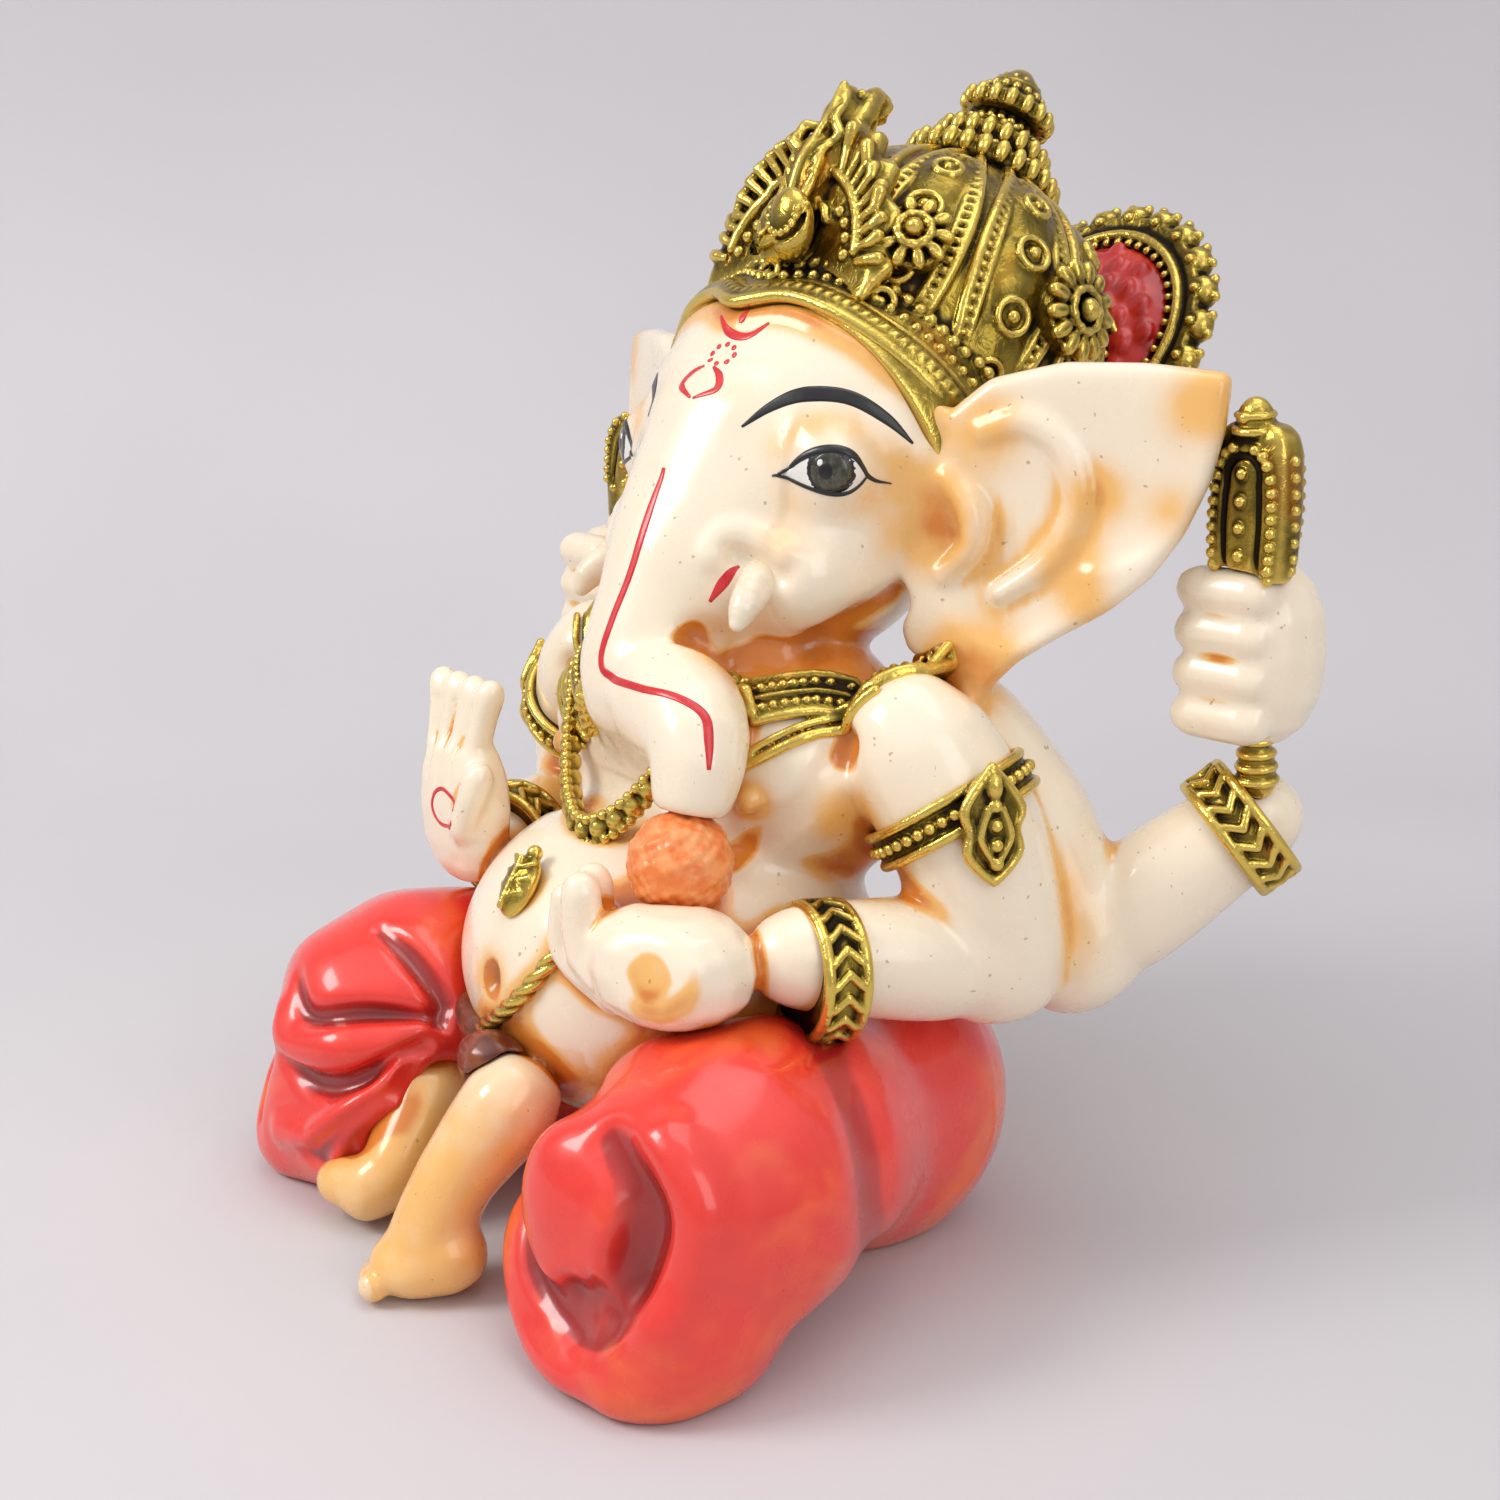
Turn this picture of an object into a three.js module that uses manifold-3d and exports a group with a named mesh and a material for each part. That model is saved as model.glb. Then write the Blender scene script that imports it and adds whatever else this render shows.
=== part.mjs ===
// Seated elephant-headed figure in painted cast resin, built as separate castings that are glued together.
// Millimetres. +Z up, the figure faces -Y, its left side is +X, and the base lies on z = 0.
import * as THREE from 'three';
import { mergeVertices } from 'three/addons/utils/BufferGeometryUtils.js';
import Module from 'manifold-3d';

const wasm = await Module();
wasm.setup();

// ---------------------------------------------------------------- driving dimensions
const POSED_AT = { width: 196, height: 230 };   // the size that the places below are written for
const FIGURE_WIDTH = 196;        // across the rear hands
const FIGURE_HEIGHT = 230;       // base to the tip of the crown
const JOINT_GAP = 0.3;           // glue gap between two castings
const PEG_RADIUS = 3;            // pegs that locate one casting in the next
const PEG_LENGTH = 6;            // how far a peg stands into the next casting

const BELLY = { at: [0, -21, 54], size: [45, 43, 34] };
const CHEST = { at: [0, -2, 95], size: [46, 27, 30] };
const HIPS = { at: [0, 6, 22], size: [51, 39, 30] };
const SKULL = { at: [0, 20, 155], size: [40, 35, 35] };
const JAW = { at: [0, 5, 134], size: [34, 27, 23] };
const DOME = { at: [0, 45, 175], size: [39, 38, 38] };
const LEAN = 30;                 // degrees that the crown leans back
const HAIRLINE_TILT = 21;        // degrees that the hairline plane leans back
const SHOULDER_RADIUS = 15;
const WRIST_RADIUS = 10;
const BANGLE = { radius: 14, width: 9 };
const ARMLET = { radius: 17.5, width: 8 };
const THIGH_RADIUS = 29;
const SWEET_RADIUS = 10.5;
const TRUNK_ROOT_RADIUS = 20;
const TRUNK_TIP_RADIUS = 7.5;
const EAR_THICKNESS = 6;
const HALO = { radius: 24, rim: 9, thickness: 8 };
const ROSETTE_RADIUS = 8;
const TUSK_RADIUS = 4;
const FINGER = { front_right: 3.4, front_left: 4, rear: 4.6 };         // radius of a finger on each hand
const COLLAR_RADIUS = 4;
const NECKLACE_RADIUS = 2.6;
const THREAD_RADIUS = 2;
const BELT_RADIUS = 3;
const BAND_RADIUS = 3.6;         // the band along the hairline
const FAN = { thickness: 5, width: 25, height: 36, lobes: 5 };         // lobes on each side of the leaf
const CROWN_TURN = 40;           // mm round the crown that are taken as one radian

// ---------------------------------------------------------------- fineness of the meshes
const CAP_STEPS = 2;             // rings in the round end of a limb
const ROUND_SECTIONS = 18;       // facets round a turned piece or a large egg
const SLIM_SECTIONS = 8;         // facets round a thin limb
const PLATE_BEVEL = 1;
const BLOCK = 400;               // side of the blocks that castings are cut with

// ---------------------------------------------------------------- finishes
const finish = (color, roughness, metalness) => new THREE.MeshStandardMaterial({
  color,
  roughness,
  metalness,
});
const SKIN = finish(0xf3dfc2, 0.28, 0);
const CLOTH = finish(0xe3262a, 0.3, 0);
const SASH = finish(0x4a2418, 0.4, 0);
const GOLD = finish(0x9a7a2c, 0.35, 0.7);
const IVORY = finish(0xf7ecd8, 0.3, 0);
const SWEET = finish(0xe8742c, 0.4, 0);
const HALO_RED = finish(0xc9232b, 0.4, 0);

// ---------------------------------------------------------------- scale and places
const breadth = FIGURE_WIDTH / POSED_AT.width;
const stature = FIGURE_HEIGHT / POSED_AT.height;
const bulk = Math.sqrt(breadth * stature);      // depth, and the thickness of limbs
const place = ([x, y, z]) => new THREE.Vector3(x * breadth, y * bulk, z * stature);
const radians = (degrees) => degrees * Math.PI / 180;
const along = (from, direction, distance) => from.map((value, i) => value + direction[i] * distance);

// A point on an egg's surface. Longitude 0 faces -Y and grows towards the figure's left.
function onSurface(body, longitude, latitude, lift = 0) {
  const [lon, lat] = [radians(longitude), radians(latitude)];
  const outward = [Math.sin(lon) * Math.cos(lat), -Math.cos(lon) * Math.cos(lat), Math.sin(lat)];
  return body.at.map((centre, i) => centre + outward[i] * (body.size[i] + lift));
}

const up = [0, Math.sin(radians(LEAN)), Math.cos(radians(LEAN))];      // the crown's axis
const back = [0, Math.cos(radians(LEAN)), -Math.sin(radians(LEAN))];   // square to it, backwards

// ---------------------------------------------------------------- solids from three.js geometry
function solid(geometry) {
  const bare = geometry.clone();
  bare.deleteAttribute('normal');
  bare.deleteAttribute('uv');
  const merged = mergeVertices(bare, 1e-4);
  const vertProperties = new Float32Array(merged.attributes.position.array);
  const triVerts = new Uint32Array(merged.index.array);
  const made = new wasm.Manifold(new wasm.Mesh({ numProp: 3, vertProperties, triVerts }));
  if (made.volume() > 0) return made;
  return new wasm.Manifold(new wasm.Mesh({ numProp: 3, vertProperties, triVerts: triVerts.reverse() }));
}

const join = (...solids) => solids.reduce((all, one) => all.add(one));

// Everything on the far side of a plane, as a block that stands on it. The normal points into the block.
function halfSpace(at, normal, grow = 0) {
  const block = new THREE.BoxGeometry(BLOCK, BLOCK, BLOCK).translate(0, 0, BLOCK / 2 - grow);
  block.applyQuaternion(new THREE.Quaternion().setFromUnitVectors(
    new THREE.Vector3(0, 0, 1), new THREE.Vector3(...normal).normalize()));
  return solid(block.translate(...place(at)));
}

function boxesMeet(one, other) {
  const [a, b] = [one.boundingBox(), other.boundingBox()];
  return [0, 1, 2].every((i) => a.min[i] < b.max[i] && b.min[i] < a.max[i]);
}

function largestPiece(body) {
  return body.decompose().reduce((best, piece) => (piece.volume() > best.volume() ? piece : best));
}

// An egg or a pillow: exponent 1 is an ellipsoid, and less squares it up.
function egg(body, grow = 0, { exponent = 1, segments = 16 } = {}) {
  const geometry = new THREE.SphereGeometry(1, segments, Math.round(segments * 0.6));
  const points = geometry.attributes.position;
  const square = (value) => Math.sign(value) * Math.abs(value) ** exponent;
  const half = [body.size[0] * breadth + grow, body.size[1] * bulk + grow, body.size[2] * stature + grow];
  for (let i = 0; i < points.count; i++) {
    const [x, y, z] = [points.getX(i), -points.getZ(i), points.getY(i)].map(square);
    points.setXYZ(i, x * half[0], y * half[1], z * half[2]);
  }
  geometry.translate(...place(body.at));
  return solid(geometry);
}

// The world axis that runs most nearly square to a path, from its two ends.
function squareAxis(curve) {
  const run = curve.getPoint(1).sub(curve.getPoint(0)).toArray().map(Math.abs);
  const least = run.indexOf(Math.min(...run));
  return [0, 1, 2].map((i) => (i === least ? 1 : 0));
}

// A round-ended limb through a few places. `square` is a direction that the path never runs along.
function limb(path, radii, grow = 0, { square, sections = 10, steps = 2 } = {}) {
  const curve = new THREE.CatmullRomCurve3(path.map(place));
  const spans = radii.length - 1;
  const radiusAt = (u) => {
    const span = Math.min(Math.floor(u * spans), spans - 1);
    return THREE.MathUtils.lerp(radii[span], radii[span + 1], u * spans - span) * bulk + grow;
  };
  const stations = [];
  const cap = (u, side, i) => {
    const angle = i / CAP_STEPS * Math.PI / 2;
    stations.push({ u, past: side * Math.cos(angle) * radiusAt(u), radius: Math.sin(angle) * radiusAt(u) });
  };
  for (let i = 0; i < CAP_STEPS; i++) cap(0, -1, i);
  for (let i = 0; i <= spans * steps; i++) {
    stations.push({ u: i / (spans * steps), past: 0, radius: radiusAt(i / (spans * steps)) });
  }
  for (let i = CAP_STEPS - 1; i >= 0; i--) cap(1, 1, i);

  const profile = stations.map((station, i) => new THREE.Vector2(station.radius, i));
  const geometry = new THREE.LatheGeometry(profile, sections);
  const points = geometry.attributes.position;
  const reference = new THREE.Vector3(...(square ?? squareAxis(curve)));
  for (let i = 0; i < points.count; i++) {
    const station = stations[Math.round(points.getY(i))];
    const tangent = curve.getTangent(station.u);
    const wide = new THREE.Vector3().crossVectors(reference, tangent).normalize();
    const thick = new THREE.Vector3().crossVectors(tangent, wide);
    const spot = curve.getPoint(station.u)
      .addScaledVector(tangent, station.past)
      .addScaledVector(wide, points.getX(i))
      .addScaledVector(thick, -points.getZ(i));
    points.setXYZ(i, spot.x, spot.y, spot.z);
  }
  return solid(geometry);
}

// A turned shape on any axis. Its profile is [radius, height] pairs that start and end on the axis.
function turned(at, axis, profile, grow = 0, sections = ROUND_SECTIONS) {
  const last = profile.length - 1;
  const outline = profile.map(([radius, height], i) => new THREE.Vector2(
    i === 0 || i === last ? 0 : radius * bulk + grow,
    height * bulk + (i <= last / 2 ? -grow : grow),
  ));
  const geometry = new THREE.LatheGeometry(outline, sections);
  geometry.applyQuaternion(new THREE.Quaternion().setFromUnitVectors(
    new THREE.Vector3(0, 1, 0), new THREE.Vector3(...axis).normalize()));
  geometry.translate(...place(at));
  return solid(geometry);
}

// A disc with round edges: the blank for a ring, which its neighbours then cut out.
function disc(at, axis, radius, width, grow = 0, sections = ROUND_SECTIONS) {
  const round = Math.min(width * 0.3, radius * 0.3);
  const half = width / 2;
  return turned(at, axis, [[0, -half], [radius - round, -half], [radius, round - half],
    [radius, half - round], [radius - round, half], [0, half]], grow, sections);
}

// A plate cut to an outline and laid in space by `lay`, which maps (x, y, height) to a place.
function plate(outline, thickness, grow, lay, { curveSegments = 4 } = {}) {
  const geometry = new THREE.ExtrudeGeometry(outline, {
    depth: thickness + 2 * (grow - PLATE_BEVEL),
    bevelThickness: PLATE_BEVEL,
    bevelSize: PLATE_BEVEL + grow,
    bevelSegments: 1,
    curveSegments,
  });
  const points = geometry.attributes.position;
  for (let i = 0; i < points.count; i++) {
    const spot = lay(points.getX(i), points.getY(i), points.getZ(i) - (thickness / 2 + grow - PLATE_BEVEL));
    points.setXYZ(i, spot.x, spot.y, spot.z);
  }
  return solid(geometry);
}

// ---------------------------------------------------------------- castings, each cut by the ones before it
const castings = [];
const casting = (name, material, form) => castings.push({ name, material, form });
const sides = [['left', 1], ['right', -1]];

// ---- body
casting('torso_belly', SKIN, (grow) => egg(BELLY, grow, { segments: ROUND_SECTIONS }));
casting('torso_chest', SKIN, (grow) => join(
  egg(CHEST, grow, { exponent: 0.9, segments: ROUND_SECTIONS }),
  limb([[-38, 4, 104], [0, 6, 107], [38, 4, 104]], [15, 18, 15], grow)));
casting('dhoti_seat', CLOTH, (grow) => egg(HIPS, grow, { exponent: 0.85, segments: ROUND_SECTIONS }));

// ---- feet, which come out from under the hems and cross in front
casting('left_foot', SKIN, (grow) => join(
  limb([[8, -66, 36], [4, -77, 22], [2, -83, 9]], [10, 8, 8], grow),
  limb([[6, -80, 8], [0, -87, 6]], [8, 6], grow)));
casting('right_foot', SKIN, (grow) => limb(
  [[-32, -60, 22], [-26, -72, 12], [-28, -78, 7]], [11, 8, 6], grow));

for (const [side, sign] of sides) {
  casting(`dhoti_${side}_leg`, CLOTH, (grow) => join(
    limb([[sign * 32, -4, 27], [sign * 47, -34, 31], [sign * 52, -54, 31]],
      [24, THIGH_RADIUS - 2, THIGH_RADIUS], grow, { sections: 14 }),
    limb([[sign * 58, -65, 14], [sign * 33, -66, 16]], [20, 17], grow, { sections: 12 })));
}
casting('waist_knot', SASH, (grow) => limb(
  [[-6, -64, 41], [2, -66, 42], [10, -64, 41]], [5, 7, 5], grow));
const beltTurns = [-48, -36, -24, -12, 0];
casting('waist_belt', SASH, (grow) => limb(
  beltTurns.map((lon) => onSurface(BELLY, lon, -19, 0.5)),
  beltTurns.map(() => BELT_RADIUS), grow, { square: [0, 0, 1], sections: SLIM_SECTIONS }));

// ---- head
// The crown caps everything behind the hairline and above the nape; the face carries on in front of it.
const cap = { at: SKULL.at, size: SKULL.size.map((half) => half + 2) };
const facing = [0, Math.cos(radians(HAIRLINE_TILT)), Math.sin(radians(HAIRLINE_TILT))];
const hairline = along(SKULL.at, facing, -0.2 * SKULL.size[1]);
const nape = along(SKULL.at, [0, 0, -1], 0.2 * SKULL.size[2]);
casting('crown_dome', GOLD, (grow) => join(
  egg(DOME, grow, { segments: ROUND_SECTIONS }), egg(cap, grow, { segments: ROUND_SECTIONS }))
  .intersect(halfSpace(hairline, facing, grow))
  .intersect(halfSpace(nape, [0, 0.1, 1], grow)));
casting('head', SKIN, (grow) => join(egg(SKULL, grow, { segments: ROUND_SECTIONS }), egg(JAW, grow)));
const trunkRoot = [0, 0, 152];
const trunkBend = [0, -26, 112];
casting('trunk_upper', SKIN, (grow) => limb(
  [trunkRoot, [0, -14, 136], [0, -21, 125], trunkBend],
  [TRUNK_ROOT_RADIUS, 17, 14.5, 14.5], grow, { sections: 12 }));
const sweetAt = onSurface(BELLY, 54, 46, 7.8);
casting('sweet', SWEET, (grow) => egg({ at: sweetAt, size: Array(3).fill(SWEET_RADIUS) }, grow));
casting('trunk_lower', SKIN, (grow) => limb(
  [trunkBend, [14, -30, 110], [27, -35, 105], along(sweetAt, [0, 0.25, 1], SWEET_RADIUS - 1)],
  [14.5, 12.5, 10, TRUNK_TIP_RADIUS], grow, { square: [0, 1, 0], steps: 3 }));
for (const [side, sign] of sides) {
  casting(`${side}_tusk`, IVORY, (grow) => limb(
    [[sign * 18, -10, 134], [sign * 23, -19, 131], [sign * 25, -24, 125]],
    [TUSK_RADIUS, TUSK_RADIUS * 0.9, TUSK_RADIUS * 0.5], grow, { sections: 10 }));
}

// ---- ears: a sheet whose length runs out and back from the head, and which dishes a little
const earOutline = new THREE.Shape();
earOutline.moveTo(-3, 124);
earOutline.bezierCurveTo(-4, 140, -4, 154, 0, 162);
earOutline.bezierCurveTo(8, 176, 34, 174, 52, 172);
earOutline.bezierCurveTo(53, 160, 50, 146, 42, 136);
earOutline.bezierCurveTo(34, 126, 20, 124, 12, 111);
earOutline.bezierCurveTo(8, 112, -2, 116, -3, 124);
for (const [side, sign] of sides) {
  const layEar = (out, height, depth) => place([
    sign * (SKULL.size[0] - 1 + 0.9 * out + 0.44 * depth),
    13 + 0.44 * out - 0.9 * depth + 0.12 * (height - 145),
    height,
  ]);
  casting(`${side}_ear`, SKIN, (grow) => plate(earOutline, EAR_THICKNESS, grow, layEar));
}

// ---- crown
const bandHalf = [[30, 57], [58, 46], [80, 26], [100, 0]];
const bandTurns = [...bandHalf.map(([lon, lat]) => [-lon, lat]).reverse(), [0, 55], ...bandHalf];
casting('crown_band', GOLD, (grow) => limb(
  bandTurns.map(([lon, lat]) => onSurface(SKULL, lon, lat, 0.5)),
  bandTurns.map(() => BAND_RADIUS), grow, { square: [0, 1, 0], sections: SLIM_SECTIONS }));

const onCrown = (angle, height, radius) => {
  const outwards = [Math.sin(angle), -back[1] * Math.cos(angle), -back[2] * Math.cos(angle)];
  return along(along(DOME.at, up, height), outwards, radius);
};
const fanOutline = new THREE.Shape();
const fanSteps = FAN.lobes * 2;
const fanPoint = (i) => {
  const angle = i / fanSteps * Math.PI / 2;
  const reach = i % 2 ? 1 : 0.9;
  return [FAN.width * reach * Math.sin(angle), FAN.height * reach * Math.cos(angle) - 8];
};
fanOutline.moveTo(-22, -12);
for (let i = -fanSteps; i < 0; i++) fanOutline.lineTo(...fanPoint(i));
fanOutline.quadraticCurveTo(-4, 31, 0, 37);
fanOutline.quadraticCurveTo(4, 31, ...fanPoint(1));
for (let i = 2; i <= fanSteps; i++) fanOutline.lineTo(...fanPoint(i));
fanOutline.lineTo(22, -12);
const layFan = (x, y, z) => place(onCrown(x / CROWN_TURN, y, 42 - 0.008 * Math.max(0, y - 5) ** 2 + z));
casting('crown_fan', GOLD, (grow) => plate(fanOutline, FAN.thickness, grow, layFan));
const boss = { at: onCrown(0.1, 1, 45), size: [6, 4, 8] };
casting('crown_boss', GOLD, (grow) => egg(boss, grow, { segments: 14 }));

const rosettes = {
  front_left: [0.66, 6],
  front_right: [-0.66, 6],
  side_left: [1.58, 8],
  side_right: [-1.58, 8],
};
for (const [where, [angle, height]] of Object.entries(rosettes)) {
  const centre = onCrown(angle, height, 41);
  const outwards = centre.map((value, i) => value - DOME.at[i]);
  const size = where.startsWith('side') ? ROSETTE_RADIUS * 1.3 : ROSETTE_RADIUS;
  casting(`rosette_${where}`, GOLD, (grow) => turned(centre, outwards,
    [[0, -5], [size, -5], [size, 1], [size * 0.6, 3], [size * 0.35, 5], [0, 5]], grow, 16));
}
casting('crown_tier_lower', GOLD, (grow) => turned(along(DOME.at, up, 39), up,
  [[0, -6], [15, -6], [17.5, -2], [17.5, 0], [15, 1], [0, 1]], grow, 20));
casting('crown_tier_upper', GOLD, (grow) => turned(along(DOME.at, up, 44), up,
  [[0, -3.6], [12, -3.6], [13, 0], [13, 1.5], [9, 3], [0, 3]], grow, 20));
casting('crown_finial', GOLD, (grow) => turned(along(DOME.at, up, 52.6), up,
  [[0, -5.6], [6, -5.6], [6, -3], [10, -1], [10.5, 2], [7, 3.5], [6, 6], [2, 10], [0, 10.5]], grow, 16));

// ---- halo disc behind the crown
const haloAt = along(along(DOME.at, back, 49), up, 26);
casting('halo_stem', GOLD, (grow) => limb(
  [along(DOME.at, back, 28), haloAt], [16, 13], grow));
casting('halo_disc', HALO_RED, (grow) => turned(haloAt, back,
  [[0, -9], [10, -8], [19, -5], [HALO.radius, 0], [HALO.radius, 4], [0, 4]], grow));
casting('halo_rim', GOLD, (grow) => disc(haloAt, back, HALO.radius + HALO.rim, HALO.thickness, grow, 24));

// ---- arms, from the shoulders to the hands
const arms = {
  front_left: {
    shoulder: [49, -1, 104], middle: [59, 4, 87], elbow: [63, 9, 63],
    wrist: onSurface(BELLY, 78, 20, 9.6), palm: onSurface(BELLY, 51, 21, 6.8),
  },
  front_right: {
    shoulder: [-49, -1, 104], middle: [-59, 4, 88], elbow: [-63, 6, 68],
    wrist: [-50, -28, 66], palm: [-45, -41, 79],
  },
  rear_left: {
    shoulder: [40, 17, 102], middle: [54, 24, 84], elbow: [65, 27, 61],
    wrist: [87, 54, 88], palm: [88, 51, 121],
  },
  rear_right: {
    shoulder: [-40, 17, 102], middle: [-54, 22, 84], elbow: [-64, 22, 64],
    wrist: [-79, 20, 84], palm: [-79, 24, 111],
  },
};
const between = (a, b, share) => a.map((value, i) => value + (b[i] - value) * share);
const direction = (a, b) => new THREE.Vector3().subVectors(place(b), place(a)).normalize().toArray();

for (const [name, arm] of Object.entries(arms)) {
  casting(`${name}_upper_arm`, SKIN, (grow) => limb(
    [arm.shoulder, arm.middle, arm.elbow], [SHOULDER_RADIUS, SHOULDER_RADIUS, 13.5], grow));
}
for (const [name, arm] of Object.entries(arms)) {
  casting(`${name}_forearm`, SKIN, (grow) => limb(
    [arm.elbow, between(arm.elbow, arm.wrist, 0.5), arm.wrist], [13, 12, WRIST_RADIUS], grow));
}

// Fingers fan out from the far edge of the palm.
function hand({ palm, palmSize, fingers, fingerRadius }, grow) {
  return join(
    egg({ at: palm, size: palmSize }, grow, { exponent: 0.85, segments: 14 }),
    ...fingers.map((path) => limb(path, path.map(() => fingerRadius), grow, { sections: SLIM_SECTIONS })));
}
const openFingers = [-9, -3, 3, 9].map((shift) => [
  [-46 + shift * 0.7, -42, 90], [-46 + shift * 0.8, -40, 99], [-46 + shift, -39, 104]]);
casting('front_right_hand', SKIN, (grow) => hand({
  palm: arms.front_right.palm, palmSize: [13, 7, 17], fingerRadius: FINGER.front_right,
  fingers: [...openFingers, [[-38, -46, 76], [-34, -46, 84], [-33, -45, 88]]],
}, grow));
const curledFingers = [
  [[-4, -8, -5], [-14, -9, 0], [-15, -9, 12]],
  [[-8, -2, -6], [-18, -3, 1], [-18, -4, 12]],
];
casting('front_left_hand', SKIN, (grow) => hand({
  palm: arms.front_left.palm, palmSize: [17, 14, 11], fingerRadius: FINGER.front_left,
  fingers: curledFingers.map((path) => path.map((step) => along(arms.front_left.palm, step, 1))),
}, grow));
for (const [side, sign] of sides) {
  const { palm } = arms[`rear_${side}`];
  const knuckles = [12, 4, -4, -12].map((height) => [
    [palm[0] + sign * 4, palm[1] - 8, palm[2] + height],
    [palm[0] - sign * 8, palm[1] - 9, palm[2] + height]]);
  casting(`rear_${side}_hand`, SKIN, (grow) => hand({
    palm, palmSize: [12, 11, 18], fingerRadius: FINGER.rear, fingers: knuckles,
  }, grow));
}

// ---- things held in the rear hands, each on a lean of its own
const leans = { left: [0, -0.1, 1], right: [0.15, 0.35, 1] };
for (const [side, sign] of sides) {
  const { palm } = arms[`rear_${side}`];
  const grip = [palm[0] + sign * 2, palm[1] - 4, palm[2]];
  casting(`${side}_goad_handle`, GOLD, (grow) => limb(
    [along(grip, leans[side], -25), along(grip, leans[side], -15)], [4, 3], grow));
  casting(`${side}_goad_head`, GOLD, (grow) => join(
    egg({ at: along(grip, leans[side], 28), size: [9, 5, 16] }, grow, { exponent: 0.5, segments: 14 }),
    egg({ at: along(grip, leans[side], 43.5), size: [4, 4, 5] }, grow, { segments: 10 })));
}

// ---- bangles, armlets and necklaces
for (const [name, arm] of Object.entries(arms)) {
  const at = between(arm.elbow, arm.wrist, 0.92);
  casting(`${name}_bangle`, GOLD, (grow) => disc(
    at, direction(arm.elbow, arm.wrist), BANGLE.radius, BANGLE.width, grow));
}
for (const [side, sign] of sides) {
  const arm = arms[`front_${side}`];
  const at = between(arm.shoulder, arm.middle, 0.7);
  const plaque = { at: along(at, [sign * 0.94, -0.34, 0.1], ARMLET.radius - 1), size: [3, 7, 11] };
  casting(`${side}_armlet`, GOLD, (grow) => join(
    disc(at, direction(arm.shoulder, arm.middle), ARMLET.radius, ARMLET.width, grow),
    egg(plaque, grow, { segments: 12 })));
}
const collar = [[6, -30, 103], [18, -26, 106], [34, -14, 113], [44, 6, 119]];
for (const [side, sign] of sides) {
  casting(`collar_${side}`, GOLD, (grow) => limb(
    collar.map(([x, y, z]) => [sign * x, y, z]),
    collar.map(() => COLLAR_RADIUS), grow, { square: [0, 0, 1], sections: SLIM_SECTIONS }));
}
const strand = [[-30, -22, 107], [-20, -31, 95], [-10, -38, 87], [0, -42, 84], [9, -40, 88], [15, -34, 97]];
const swelling = [0, 0, 0.4, 0.4, 0, 0];
casting('bead_necklace', GOLD, (grow) => limb(
  strand, swelling.map((more) => NECKLACE_RADIUS + more), grow,
  { square: [0, 1, 0], sections: SLIM_SECTIONS }));
const pendant = { at: onSurface(BELLY, -4, 36, 1), size: [5, 3, 7] };
casting('pendant', GOLD, (grow) => egg(pendant, grow, { segments: 12 }));
const threadTurns = [[24, 32], [15, 13], [4, -2], [-14, -17]];
casting('sacred_thread', GOLD, (grow) => limb(
  threadTurns.map(([lon, lat]) => onSurface(BELLY, lon, lat, 0.5)),
  threadTurns.map(() => THREAD_RADIUS), grow, { sections: SLIM_SECTIONS }));

// ---------------------------------------------------------------- pegs: [casting, centre, direction]
const pegs = [
  ['dhoti_seat', onSurface(BELLY, 180, -52), [0, 0, 1]],
  ['torso_chest', onSurface(BELLY, 180, 75), [0, 0, 1]],
  ['head', onSurface(CHEST, 180, 72), [0, 0, 1]],
  ['crown_dome', hairline, facing],
];

// ---------------------------------------------------------------- fit the castings together
const floor = solid(new THREE.BoxGeometry(BLOCK, BLOCK, BLOCK).translate(0, 0, -BLOCK / 2));
const fitted = [];
for (const { name, material, form } of castings) {
  const raw = form(0).subtract(floor);
  const neighbours = fitted.filter((earlier) => boxesMeet(raw, earlier.grown));
  const cut = neighbours.reduce((rest, earlier) => rest.subtract(earlier.grown.add(earlier.body)), raw);
  fitted.push({ name, material, body: largestPiece(cut), grown: form(JOINT_GAP) });
}
const pegProfile = [[0, -PEG_LENGTH], [PEG_RADIUS, -PEG_LENGTH], [PEG_RADIUS, PEG_LENGTH], [0, PEG_LENGTH]];
for (const [owner, centre, axis] of pegs) {
  const [peg, socket] = [0, JOINT_GAP].map((grow) => turned(centre, axis, pegProfile, grow, 16));
  for (const piece of fitted.filter(({ body }) => boxesMeet(body, socket))) {
    piece.body = piece.name === owner ? piece.body.add(peg) : piece.body.subtract(socket);
  }
}

// ---------------------------------------------------------------- the figure
const figure = new THREE.Group();
figure.name = 'seated_figure';
for (const { name, material, body } of fitted) {
  const { vertProperties, triVerts } = body.getMesh();
  const geometry = new THREE.BufferGeometry();
  geometry.setAttribute('position', new THREE.BufferAttribute(vertProperties, 3));
  geometry.setIndex(new THREE.BufferAttribute(triVerts, 1));
  const mesh = new THREE.Mesh(geometry.toNonIndexed(), material);
  mesh.geometry.computeVertexNormals();
  mesh.name = name;
  figure.add(mesh);
}

export default figure;
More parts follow.
